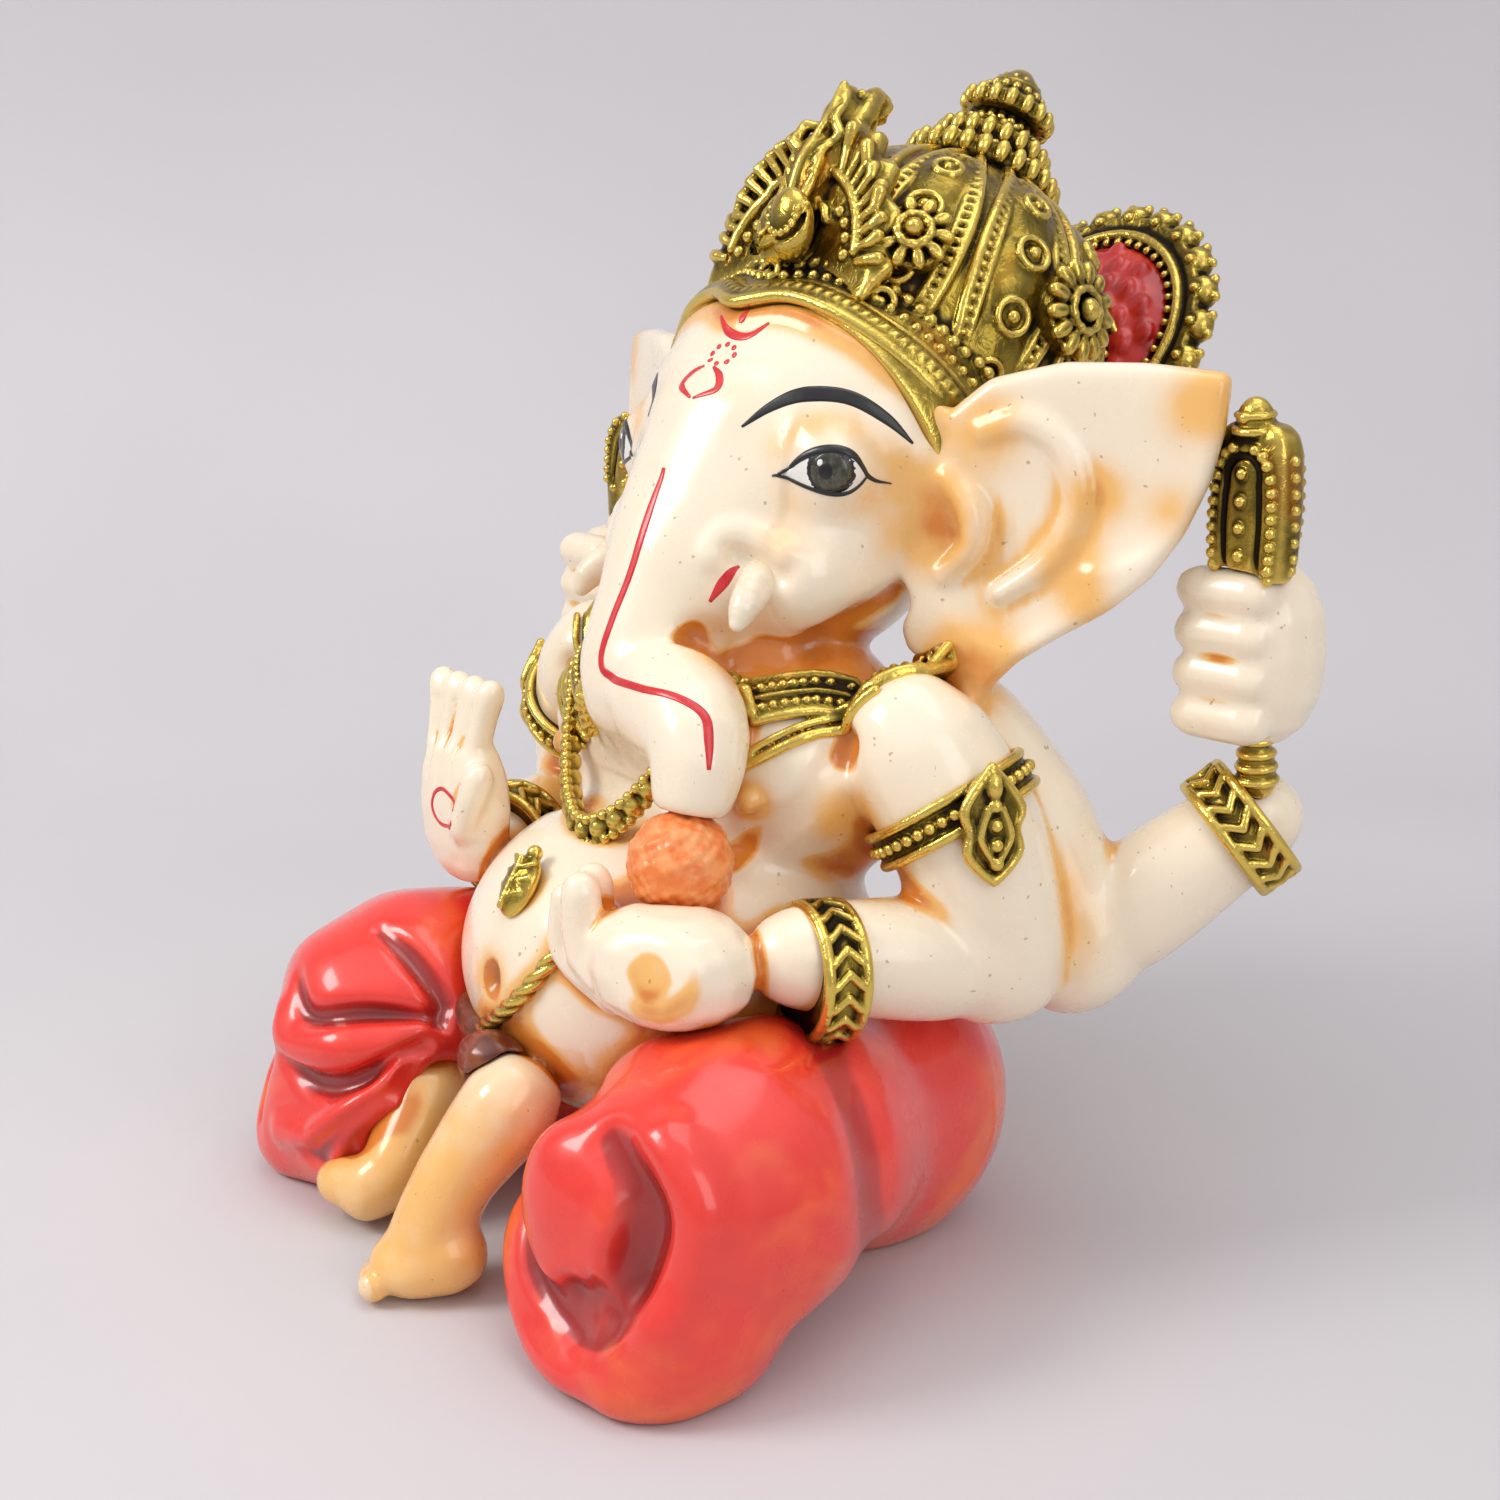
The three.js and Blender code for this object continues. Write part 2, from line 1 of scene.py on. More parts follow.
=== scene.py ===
"""Seated elephant-headed figure in painted cast resin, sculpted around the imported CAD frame.

Every casting is sculpted as a distance field in millimetres, then meshed and painted by its own hollows.
"""
import math
import bpy
import numpy as np
import openvdb as vdb
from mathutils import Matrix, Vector


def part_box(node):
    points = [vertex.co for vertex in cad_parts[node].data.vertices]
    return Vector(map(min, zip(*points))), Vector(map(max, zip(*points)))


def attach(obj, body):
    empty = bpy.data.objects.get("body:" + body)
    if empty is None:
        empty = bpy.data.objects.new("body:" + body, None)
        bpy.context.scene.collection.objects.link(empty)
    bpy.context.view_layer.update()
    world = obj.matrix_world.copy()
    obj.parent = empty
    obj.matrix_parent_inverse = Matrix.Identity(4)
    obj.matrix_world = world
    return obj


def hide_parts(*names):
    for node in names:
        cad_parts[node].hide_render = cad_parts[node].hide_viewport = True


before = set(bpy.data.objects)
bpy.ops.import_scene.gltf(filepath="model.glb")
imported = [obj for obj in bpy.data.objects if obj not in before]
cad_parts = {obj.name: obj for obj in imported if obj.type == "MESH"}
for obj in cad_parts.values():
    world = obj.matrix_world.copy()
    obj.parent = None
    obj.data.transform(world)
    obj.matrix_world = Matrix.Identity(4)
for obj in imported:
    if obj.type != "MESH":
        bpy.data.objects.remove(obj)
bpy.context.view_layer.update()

MM = 0.001
FAR = 20.0                       # fields are clipped at this distance
SIDES = (("left", 1), ("right", -1))
PRESS_STEPS = 5                  # points from one given place of a furrow or fold to the next
RELIEF_VOXEL = 1.4               # sizes of the voxels, in mm
SKIN_VOXEL = 0.85
CLOTH_VOXEL = 0.9
CROWN_LEAN = 30                  # degrees
HAIRLINE_TILT = 21               # degrees
DOME_LEAVES = 10
GOLDEN_ANGLE = 2.39996           # radians: grains turned by it spread evenly
SWEET_GRAINS = 260
HALO_DIMPLES = 40
DIMPLE_TURN = 2.4                # radians from one dimple of the disc to the next
BANGLE_CHEVRONS = 18
FOREHEAD_DOTS = 8
PLATE_RADIUS = 42                # mm from the crown's axis to the fan
FAN_TURN = 40                    # mm round the crown that are taken as one radian
FAN_HALF = (25, 36)              # half the width of the fan, and its height
FAN_DROP = 8
BANGLE_SHARE = 0.92              # how far down the forearm a bangle sits
ARMLET_SHARE = 0.7               # how far down the upper arm an armlet sits
EYE_LIFT = 5.0                   # a brush starts this far off the face, and is pressed on to it
SPLIT_DIVE = 0.16                # how fast a casting dives under its neighbour past their joint
SPLIT_DEPTH = 3.0
CAMERA_PLACE = (0.3219, -0.2701, 0.2011)
CAMERA_TURN = 50                 # degrees round the figure, from its front towards its left
CAMERA_DOWN = 14.43              # degrees that it looks down
CAMERA_LENS = 50.4               # mm


# ---------------------------------------------------------------- places taken from the CAD nodes
def vec(*values):
    return np.array(values, float)


def node_box(node):
    low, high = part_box(node)
    return np.array(low) / MM, np.array(high) / MM


def at(node, fx, fy, fz):
    """The point at these fractions of a CAD node's box."""
    low, high = node_box(node)
    return low + (high - low) * vec(fx, fy, fz)


def node_mesh(node):
    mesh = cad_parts[node].data
    points = np.zeros(len(mesh.vertices) * 3, np.float32)
    mesh.vertices.foreach_get("co", points)
    mesh.calc_loop_triangles()
    faces = np.zeros(len(mesh.loop_triangles) * 3, np.int32)
    mesh.loop_triangles.foreach_get("vertices", faces)
    return points.reshape(-1, 3) / MM, faces.reshape(-1, 3)


def unit(v):
    v = np.asarray(v, float)
    return v / np.linalg.norm(v)


# ---------------------------------------------------------------- distance fields
def egg(centre, size, axes=None):
    """An ellipsoid as a one-part shape: (low, high, distance function)."""
    centre, size = np.asarray(centre, float), np.asarray(size, float)
    axes = np.eye(3) if axes is None else np.asarray(axes, float)
    reach = np.sqrt(((axes * size[:, None]) ** 2).sum(0))

    def distance(x, y, z):
        near, far = 0, 0
        for axis, half in zip(axes, size):
            p = (x - centre[0]) * axis[0] + (y - centre[1]) * axis[1] + (z - centre[2]) * axis[2]
            near = near + (p / half) ** 2
            far = far + (p / half ** 2) ** 2
        near = np.sqrt(near)
        return near * (near - 1) / np.maximum(np.sqrt(far), 1e-5)
    return [(centre - reach, centre + reach, distance)]


def capsule(a, b, ra, rb):
    a, b = np.asarray(a, float), np.asarray(b, float)
    ab = b - a
    length = max(ab @ ab, 1e-9)

    def distance(x, y, z):
        px, py, pz = x - a[0], y - a[1], z - a[2]
        t = np.clip((px * ab[0] + py * ab[1] + pz * ab[2]) / length, 0, 1)
        away = np.sqrt((px - t * ab[0]) ** 2 + (py - t * ab[1]) ** 2 + (pz - t * ab[2]) ** 2)
        return away - (ra + t * (rb - ra))
    r = max(ra, rb)
    return (np.minimum(a, b) - r, np.maximum(a, b) + r, distance)


def spline(points, steps=6):
    """Points along a smooth curve through these points."""
    p = np.asarray(points, float)
    p = np.vstack([2 * p[0] - p[1], p, 2 * p[-1] - p[-2]])
    out = []
    for i in range(1, len(p) - 2):
        for t in np.arange(steps) / steps:
            out.append(0.5 * (2 * p[i] + (p[i + 1] - p[i - 1]) * t
                              + (2 * p[i - 1] - 5 * p[i] + 4 * p[i + 1] - p[i + 2]) * t ** 2
                              + (3 * p[i] - p[i - 1] - 3 * p[i + 1] + p[i + 2]) * t ** 3))
    out.append(p[-2])
    return np.array(out)


def rod(points, radii):
    """Straight round-ended lengths from point to point."""
    points = np.asarray(points, float)
    radii = np.broadcast_to(np.asarray(radii, float), (len(points),))
    return [capsule(a, b, ra, rb) for a, b, ra, rb in zip(points[:-1], points[1:], radii[:-1], radii[1:])]


def tube(points, radii, steps=4):
    """A rod that bends smoothly through its points."""
    radii = np.broadcast_to(np.asarray(radii, float), (len(points),))
    if len(points) > 2:
        path = spline(np.column_stack([points, radii]), steps)
        points, radii = path[:, :3], path[:, 3]
    return rod(points, radii)


def beads(points, radius):
    return [part for p in points for part in egg(p, (radius, radius, radius))]


def ring_points(centre, u, v, radius, count, phase=0.0):
    angles = (np.arange(count) + phase) / count * 2 * math.pi
    return [centre + radius * (math.cos(a) * u + math.sin(a) * v) for a in angles]


def spokes(count, u, v):
    """Directions spread evenly round an axis."""
    for k in range(count):
        a = 2 * math.pi * k / count
        yield math.cos(a) * u + math.sin(a) * v


def ring(centre, u, v, radius, thick, count=28):
    points = ring_points(centre, u, v, radius, count)
    return rod(points + points[:1], thick)


def turned(centre, axis, profile):
    """A solid of revolution: the profile is a closed polygon of (radius, height) along the axis."""
    centre, axis = np.asarray(centre, float), unit(axis)
    outline = np.asarray(profile, float)
    most, low, high = outline[:, 0].max(), outline[:, 1].min(), outline[:, 1].max()
    reach = most * np.sqrt(np.maximum(0, 1 - axis ** 2))
    ends = [centre + axis * low, centre + axis * high]

    def distance(x, y, z):
        px, py, pz = x - centre[0], y - centre[1], z - centre[2]
        h = px * axis[0] + py * axis[1] + pz * axis[2]
        r = np.sqrt(np.maximum(px ** 2 + py ** 2 + pz ** 2 - h ** 2, 0))
        best = np.full(np.shape(h), 1e6, np.float32)
        inside = np.zeros(np.shape(h), bool)
        for (r0, h0), (r1, h1) in zip(outline, np.roll(outline, -1, 0)):
            dr, dh = r1 - r0, h1 - h0
            t = np.clip(((r - r0) * dr + (h - h0) * dh) / (dr * dr + dh * dh + 1e-9), 0, 1)
            best = np.minimum(best, (r - r0 - t * dr) ** 2 + (h - h0 - t * dh) ** 2)
            if dh:
                crosses = ((h0 <= h) != (h1 <= h)) & (r < r0 + (h - h0) / dh * dr)
                inside ^= crosses
        return np.where(inside, -1, 1) * np.sqrt(best)
    return [(np.minimum(*ends) - reach, np.maximum(*ends) + reach, distance)]


def blend_union(a, b, k):
    if not k:
        return np.minimum(a, b)
    h = np.maximum(k - np.abs(a - b), 0) / k
    return np.minimum(a, b) - h * h * k / 4


def gauss(field, sigma):
    """The field blurred by this many voxels."""
    reach = max(1, int(math.ceil(sigma * 2.6)))
    weights = np.exp(-0.5 * (np.arange(-reach, reach + 1) / sigma) ** 2)
    weights = (weights / weights.sum()).astype(np.float32)
    for axis in range(3):
        pad = [(reach, reach) if i == axis else (0, 0) for i in range(3)]
        wide = np.pad(field, pad, mode="edge")
        count = field.shape[axis]
        windows = [tuple(slice(i, i + count) if j == axis else slice(None) for j in range(3))
                   for i in range(len(weights))]
        field = sum(w * wide[window] for w, window in zip(weights, windows))
    return field.astype(np.float32)


class Clay:
    """A block of distance field that shapes are added to and cut from."""

    def __init__(self, low, high, voxel, pad=3.0):
        self.voxel = voxel
        self.low = np.asarray(low, float) - pad
        count = np.ceil((np.asarray(high, float) + pad - self.low) / voxel).astype(int) + 1
        self.axes = [(self.low[i] + voxel * np.arange(count[i])).astype(np.float32) for i in range(3)]
        self.f = np.full(count, FAR, np.float32)

    @classmethod
    def around(cls, nodes, voxel, pad=3.0):
        boxes = [node_box(n) for n in nodes]
        return cls(np.min([b[0] for b in boxes], 0), np.max([b[1] for b in boxes], 0), voxel, pad)

    def window(self, low, high):
        first = np.clip(np.floor((low - self.low) / self.voxel).astype(int), 0, self.f.shape)
        last = np.clip(np.ceil((high - self.low) / self.voxel).astype(int) + 1, 0, self.f.shape)
        return tuple(slice(a, b) for a, b in zip(first, last))

    def coords(self, win):
        x, y, z = (axis[w] for axis, w in zip(self.axes, win))
        return x[:, None, None], y[None, :, None], z[None, None, :]

    def field(self, parts, reach):
        low = np.min([p[0] for p in parts], 0) - reach
        high = np.max([p[1] for p in parts], 0) + reach
        win = self.window(low, high)
        f = np.full(self.f[win].shape, FAR, np.float32)
        for part_low, part_high, distance in parts:
            w = self.window(part_low - reach, part_high + reach)
            if any(s.stop <= s.start for s in w):
                continue
            inner = tuple(slice(s.start - o.start, s.stop - o.start) for s, o in zip(w, win))
            f[inner] = np.minimum(f[inner], distance(*self.coords(w)))
        return win, f

    def add(self, parts, blend=0.0):
        win, f = self.field(parts, blend + 2 * self.voxel + 1)
        self.f[win] = blend_union(self.f[win], f, blend)
        return self

    def cut(self, parts, blend=0.0):
        win, f = self.field(parts, blend + 2 * self.voxel + 1)
        self.f[win] = -blend_union(-self.f[win], f, blend)
        return self

    def keep(self, point, normal, blend=0.0):
        """Only what is on the normal's side of the plane stays."""
        x, y, z = self.coords(self.window(self.low, self.low + 1e6))
        n = unit(normal)
        d = (point[0] - x) * n[0] + (point[1] - y) * n[1] + (point[2] - z) * n[2]
        self.f = -blend_union(-self.f, -d.astype(np.float32), blend)
        return self

    def node(self, name, soften=0.0, grow=0.0):
        """The distance field of a CAD node's own mesh, as (window, field)."""
        points, faces = node_mesh(name)
        margin = 6.0
        win = self.window(points.min(0) - margin, points.max(0) + margin)
        start = self.low + self.voxel * np.array([w.start for w in win])
        grid = vdb.FloatGrid.createLevelSetFromPolygons(
            np.ascontiguousarray((points - start) / self.voxel, dtype=np.float32),
            triangles=np.ascontiguousarray(faces, dtype=np.uint32),
            transform=vdb.createLinearTransform(1.0), halfWidth=min(FAR, 9.0) / self.voxel)
        f = np.zeros(self.f[win].shape, np.float32)
        grid.copyToArray(f)
        f *= self.voxel
        if soften:
            f = gauss(f, soften / self.voxel)
        return win, f - grow

    def add_node(self, name, blend=0.0, soften=0.0, grow=0.0):
        win, f = self.node(name, soften, grow)
        self.f[win] = blend_union(self.f[win], f, blend)
        return self

    def sample(self, points, field=None):
        """The field's value at these points, between voxels."""
        f = self.f if field is None else field
        p = (points - self.low) / self.voxel
        p = np.clip(p, 0, np.array(f.shape) - 1.001)
        i = p.astype(int)
        t = p - i
        value = 0
        for dx in (0, 1):
            for dy in (0, 1):
                for dz in (0, 1):
                    w = (np.abs(1 - dx - t[:, 0]) * np.abs(1 - dy - t[:, 1]) * np.abs(1 - dz - t[:, 2]))
                    value = value + w * f[i[:, 0] + dx, i[:, 1] + dy, i[:, 2] + dz]
        return value

    def slope(self, points):
        h = self.voxel * 0.7
        g = [self.sample(points + h * axis) - self.sample(points - h * axis) for axis in np.eye(3)]
        return np.column_stack(g) / (2 * h)


def snap(clay, points, lift=0.0):
    """The points moved to the clay's surface, then out of it by the lift."""
    points = np.atleast_2d(np.asarray(points, float)).copy()
    for _ in range(5):
        g = clay.slope(points)
        points -= (clay.sample(points) / np.maximum((g ** 2).sum(1), 0.25))[:, None] * g
    g = clay.slope(points)
    return points + lift * g / np.maximum(np.linalg.norm(g, axis=1), 1e-6)[:, None]


def spaced(points, gap, steps=8):
    """Evenly spaced points along a smooth curve."""
    path = spline(points, steps)
    run = np.concatenate([[0], np.cumsum(np.linalg.norm(np.diff(path, axis=0), axis=1))])
    where = np.linspace(0, run[-1], max(2, int(round(run[-1] / gap)) + 1))
    return np.column_stack([np.interp(where, run, path[:, i]) for i in range(3)])


def frame_about(axis):
    axis = unit(axis)
    u = unit(np.cross(axis, (1, 0, 0) if abs(axis[0]) < 0.8 else (0, 0.5, 0.866)))
    return axis, u, np.cross(axis, u)


def pressed(clay, line, radius, reach, way):
    """A rod along a line on the surface: way 1 sinks it by the reach, way -1 lets it stand out."""
    line, count = np.asarray(line, float), len(line)
    sizes = [np.broadcast_to(np.asarray(value, float), (count,)) for value in (radius, reach)]
    path = spline(np.column_stack([line, *sizes]), PRESS_STEPS)
    surface = snap(clay, path[:, :3])
    lift = way * (path[:, 3] - path[:, 4])
    return rod(surface + clay.slope(surface) * lift[:, None], path[:, 3])


def furrow(clay, line, radius, depth, blend=3.0):
    """A soft groove along a line on the clay's surface."""
    clay.cut(pressed(clay, line, radius, depth, 1), blend)


def fold(clay, line, radius, height, blend=3.0):
    """A rounded ridge along a line on the clay's surface."""
    clay.add(pressed(clay, line, radius, height, -1), blend)


# ---------------------------------------------------------------- node materials
class Nodes:
    """A short way to write a node material."""

    def __init__(self, name):
        self.material = bpy.data.materials.new(name)
        self.material.use_nodes = True
        self.tree = self.material.node_tree
        self.shader = self.tree.nodes["Principled BSDF"]
        self.coords = self.tree.nodes.new("ShaderNodeTexCoord").outputs["Object"]

    def node(self, kind, links=(), **settings):
        made = self.tree.nodes.new(kind)
        for key, value in settings.items():
            setattr(made, key, value)
        for socket, value in dict(links).items():
            target = made.inputs[socket]
            if isinstance(value, bpy.types.NodeSocket):
                self.tree.links.new(value, target)
            else:
                target.default_value = value
        return made

    def attribute(self, name):
        return self.node("ShaderNodeAttribute", attribute_name=name).outputs["Fac"]

    def noise(self, scale, detail=3.0, rough=0.55, distortion=0.0):
        links = {"Vector": self.coords, "Scale": scale, "Detail": detail, "Roughness": rough,
                 "Distortion": distortion}
        return self.node("ShaderNodeTexNoise", links).outputs["Fac"]

    def math(self, operation, a, b=0.0):
        return self.node("ShaderNodeMath", {0: a, 1: b}, operation=operation, use_clamp=False).outputs[0]

    def ramp(self, value, low, high, first=0.0, last=1.0):
        return self.node("ShaderNodeMapRange", {"Value": value, "From Min": low, "From Max": high,
                                                "To Min": first, "To Max": last},
                         interpolation_type="SMOOTHSTEP", clamp=True).outputs["Result"]

    def mix(self, share, a, b):
        made = self.tree.nodes.new("ShaderNodeMix")
        made.data_type = "RGBA"
        for socket, value in ((made.inputs[0], share), (made.inputs[6], a), (made.inputs[7], b)):
            if isinstance(value, bpy.types.NodeSocket):
                self.tree.links.new(value, socket)
            elif isinstance(value, float):
                socket.default_value = value
            else:
                socket.default_value = (*value, 1.0)
        return made.outputs[2]

    def bump(self, *layers):
        """Layers of (height, strength, distance in mm), one on top of the other."""
        below = None
        for height, strength, distance in layers:
            links = {"Height": height, "Strength": strength, "Distance": distance * MM}
            if below:
                links["Normal"] = below
            below = self.node("ShaderNodeBump", links).outputs["Normal"]
        return below

    def finish(self, color, roughness, bump=None, **constants):
        for socket, value in {"Base Color": color, "Roughness": roughness, "Normal": bump}.items():
            if isinstance(value, bpy.types.NodeSocket):
                self.tree.links.new(value, self.shader.inputs[socket])
            elif isinstance(value, float):
                self.shader.inputs[socket].default_value = value
            elif value is not None:
                self.shader.inputs[socket].default_value = (*value, 1.0)
        for socket, value in constants.items():
            self.shader.inputs[socket.replace("_", " ").title().replace("Ior", "IOR")].default_value = value
        return self.material


def enamel_skin():
    n = Nodes("cream_enamel")
    hollow = n.attribute("hollow")
    tint = n.attribute("tint")
    cloud = n.noise(90.0, 4.0)
    sprayed = n.math("ADD", n.ramp(hollow, 0.05, 0.72), tint)
    sprayed = n.math("MULTIPLY", sprayed, n.ramp(cloud, 0.25, 0.7, 0.75, 1.25))
    light = n.mix(n.ramp(sprayed, 0.0, 0.42, 0.0, 1.0), (0.93, 0.80, 0.61), (0.90, 0.50, 0.15))
    deep = n.mix(n.ramp(sprayed, 0.40, 1.0, 0.0, 0.92), light, (0.68, 0.20, 0.02))
    # the orange is the airbrush paint in the hollows; the dark brown in the deepest hollows, and where the
    # skin meets other parts, is painted shade
    brown = n.mix(n.ramp(hollow, 0.85, 1.7, 0.0, 0.85), deep, (0.13, 0.030, 0.008))
    speck = n.ramp(n.noise(620.0, 1.0), 0.745, 0.775, 0.0, 0.5)
    color = n.mix(speck, brown, (0.23, 0.13, 0.06))
    bump = n.bump((n.noise(45.0, 2.0), 0.25, 0.8), (n.noise(420.0, 2.0), 0.12, 0.12))
    return n.finish(color, n.ramp(n.noise(140.0, 3.0), 0.3, 0.75, 0.20, 0.33), bump,
                    coat_weight=0.5, coat_roughness=0.08, specular_ior_level=0.5)


def enamel_cloth():
    n = Nodes("red_enamel")
    hollow = n.attribute("hollow")
    tint = n.attribute("tint")
    cloud = n.noise(34.0, 3.0, 0.5, 0.6)
    fine = n.noise(160.0, 3.0)
    base = n.mix(n.ramp(cloud, 0.5, 0.72, 0.0, 0.75), (0.86, 0.040, 0.024), (0.94, 0.16, 0.024))
    base = n.mix(n.ramp(fine, 0.35, 0.7, 0.0, 0.22), base, (0.66, 0.016, 0.016))
    # painted shade: the red darkens to maroon in the creases and where the cloth meets other parts, and to
    # near black in the deepest hollows
    dark = n.mix(n.ramp(n.math("ADD", hollow, tint), 0.24, 0.75, 0.0, 0.8), base, (0.33, 0.010, 0.008))
    dark = n.mix(n.ramp(hollow, 0.62, 1.35, 0.0, 0.92), dark, (0.040, 0.007, 0.005))
    bump = n.bump((n.noise(40.0, 2.0), 0.3, 1.0), (n.noise(300.0, 2.0), 0.12, 0.15))
    return n.finish(dark, n.ramp(n.noise(90.0, 3.0), 0.3, 0.75, 0.22, 0.40), bump,
                    coat_weight=0.6, coat_roughness=0.10, specular_ior_level=0.5)


def antique_gold():
    n = Nodes("antique_gold")
    hollow = n.attribute("hollow")
    patch = n.noise(110.0, 4.0)
    orange = n.ramp(n.noise(75.0, 2.0), 0.55, 0.75, 0.0, 0.55)
    body = n.mix(n.ramp(patch, 0.35, 0.68), (0.13, 0.09, 0.012), (0.36, 0.25, 0.035))
    body = n.mix(orange, body, (0.55, 0.20, 0.02))
    bright = n.mix(n.ramp(hollow, -0.9, -0.15, 1.0, 0.0), body, (0.78, 0.56, 0.12))
    wash = n.ramp(n.noise(150.0, 5.0, 0.65), 0.52, 0.74, 0.0, 0.55)
    thinned = n.math("MULTIPLY", wash, n.ramp(hollow, -0.5, 0.1))
    worn = n.math("ADD", n.ramp(hollow, -0.05, 0.45, 0.0, 0.97), thinned)
    dark = n.mix(n.ramp(worn, 0.0, 1.0), bright, (0.016, 0.010, 0.004))
    rough = n.ramp(hollow, -0.2, 0.7, 0.20, 0.5)
    bump = n.bump((n.noise(230.0, 4.0, 0.6, 0.8), 0.75, 0.55), (n.noise(800.0, 2.0), 0.4, 0.08))
    return n.finish(dark, rough, bump, metallic=0.88, specular_ior_level=0.5)


def lacquer(name, color, other, scale=220.0, roughness=(0.22, 0.4), metallic=0.0):
    """A plain painted surface: two close colours, clouded and darkened in the hollows as painted shade,
    over a faint brushed unevenness.
    """
    n = Nodes(name)
    hollow = n.attribute("hollow")
    mixed = n.mix(n.ramp(n.noise(scale, 4.0), 0.35, 0.68), color, other)
    # painted shade: the hollows darken towards a dark copy of the second colour
    mixed = n.mix(n.ramp(hollow, 0.15, 1.1, 0.0, 0.8), mixed, tuple(0.22 * c for c in other))
    bump = n.bump((n.noise(scale * 2, 3.0), 0.3, 0.15))
    return n.finish(mixed, n.ramp(n.noise(scale * 1.3, 2.0), 0.3, 0.7, *roughness), bump,
                    metallic=metallic, coat_weight=0.3, coat_roughness=0.12)


SKIN = enamel_skin()
CLOTH = enamel_cloth()
GOLD = antique_gold()
SASH = lacquer("dark_sash", (0.10, 0.018, 0.008), (0.26, 0.06, 0.015), 160.0)
IVORY = lacquer("ivory_enamel", (0.88, 0.77, 0.60), (0.82, 0.68, 0.48))
SWEET = lacquer("orange_sweet", (0.85, 0.20, 0.035), (0.92, 0.36, 0.12), 300.0, (0.3, 0.5))
HALO_RED = lacquer("halo_red", (0.62, 0.02, 0.012), (0.42, 0.012, 0.012), 150.0, (0.25, 0.45))
INK_BLACK = lacquer("black_paint", (0.003, 0.003, 0.004), (0.006, 0.006, 0.005), 220.0, (0.3, 0.45))
INK_RED = lacquer("red_paint", (0.62, 0.012, 0.020), (0.70, 0.03, 0.03))
EYE_WHITE = lacquer("eye_white", (0.86, 0.83, 0.78), (0.80, 0.76, 0.70), 200.0, (0.10, 0.18))
IRIS = lacquer("iris_olive", (0.030, 0.028, 0.016), (0.085, 0.078, 0.045), 900.0, (0.10, 0.18))


# ---------------------------------------------------------------- from field to piece
relief = Clay.around(list(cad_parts), RELIEF_VOXEL, 8.0)
for node_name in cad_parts:
    relief.add_node(node_name)
near = gauss(relief.f, 2.2 / relief.voxel)
wide = gauss(relief.f, 4.5 / relief.voxel)


def contact(points):
    """How enclosed each point is by the whole figure: 0 on open, flat ground."""
    return np.clip(-relief.sample(points, near) * 0.55 - relief.sample(points, wide) * 0.32, -0.5, 0.75)


def smooth_points(points, faces, rounds=1):
    for _ in range(rounds):
        total = np.zeros_like(points)
        count = np.zeros(len(points))
        for a, b in ((0, 1), (1, 2), (2, 3), (3, 0)):
            np.add.at(total, faces[:, a], points[faces[:, b]])
            np.add.at(total, faces[:, b], points[faces[:, a]])
            np.add.at(count, faces[:, a], 1)
            np.add.at(count, faces[:, b], 1)
        points = 0.5 * points + 0.5 * total / np.maximum(count, 1)[:, None]
    return points


def largest(faces, count):
    """Only the faces of the largest connected surface."""
    label = np.arange(count)
    while True:
        low = label[faces].min(1)
        fresh = label.copy()
        for c in range(4):
            np.minimum.at(fresh, faces[:, c], low)
        fresh = fresh[fresh]
        if (fresh == label).all():
            break
        label = fresh
    ids, sizes = np.unique(label[faces[:, 0]], return_counts=True)
    return faces[label[faces[:, 0]] == ids[sizes.argmax()]]


def make_piece(name, points, faces, normals, values, material, replaced):
    mesh = bpy.data.meshes.new(name)
    mesh.vertices.add(len(points))
    mesh.vertices.foreach_set("co", (points * MM).astype(np.float32).ravel())
    size = faces.shape[1]
    mesh.loops.add(faces.size)
    mesh.loops.foreach_set("vertex_index", faces.astype(np.int32).ravel())
    mesh.polygons.add(len(faces))
    mesh.polygons.foreach_set("loop_start", np.arange(0, faces.size, size, dtype=np.int32))
    mesh.polygons.foreach_set("use_smooth", np.ones(len(faces), bool))
    mesh.update(calc_edges=True)
    for key, value in values.items():
        layer = mesh.attributes.new(key, "FLOAT", "POINT")
        layer.data.foreach_set("value", value.astype(np.float32))
    mesh.materials.append(material)
    if normals is not None:
        mesh.normals_split_custom_set_from_vertices(normals)
    piece = bpy.data.objects.new(name, mesh)
    bpy.context.scene.collection.objects.link(piece)
    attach(piece, "root")
    if replaced:
        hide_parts(*replaced)
    return piece


def cast(name, clay, material, replaced, fine=1.0, gain=1.6, touch=1.0, tint=None, shade=None):
    """Meshes the clay and gives each point how hollow it is, which the paint follows."""
    grid = vdb.FloatGrid(background=FAR)
    grid.copyFromArray(np.ascontiguousarray(clay.f))
    points, faces = grid.convertToQuads(0.0)
    faces = largest(faces.astype(np.int64), len(points))
    used, faces = np.unique(faces, return_inverse=True)
    faces = faces.reshape(-1, 4)
    points = points[used].astype(float) * clay.voxel + clay.low
    points = smooth_points(points, faces)
    for _ in range(2):
        g = clay.slope(points)
        points -= (clay.sample(points) / np.maximum((g ** 2).sum(1), 0.2))[:, None] * g
    g = clay.slope(points)
    normals = g / np.maximum(np.linalg.norm(g, axis=1), 1e-6)[:, None]
    corner = points[faces[:20000]]
    facing = np.cross(corner[:, 2] - corner[:, 0], corner[:, 3] - corner[:, 1])
    if (facing * normals[faces[:20000, 0]]).sum() < 0:
        faces = faces[:, ::-1]
    source = shade or clay
    if not hasattr(source, "fine") or source.fine[0] != fine:
        source.fine = (fine, gauss(source.f, fine / source.voxel))
    hollow = -source.sample(points, source.fine[1]) / fine * gain + touch * contact(points)
    values = {"hollow": hollow, "tint": tint(points) if tint else np.zeros(len(points))}
    return make_piece(name, points, faces, normals, values, material, replaced)


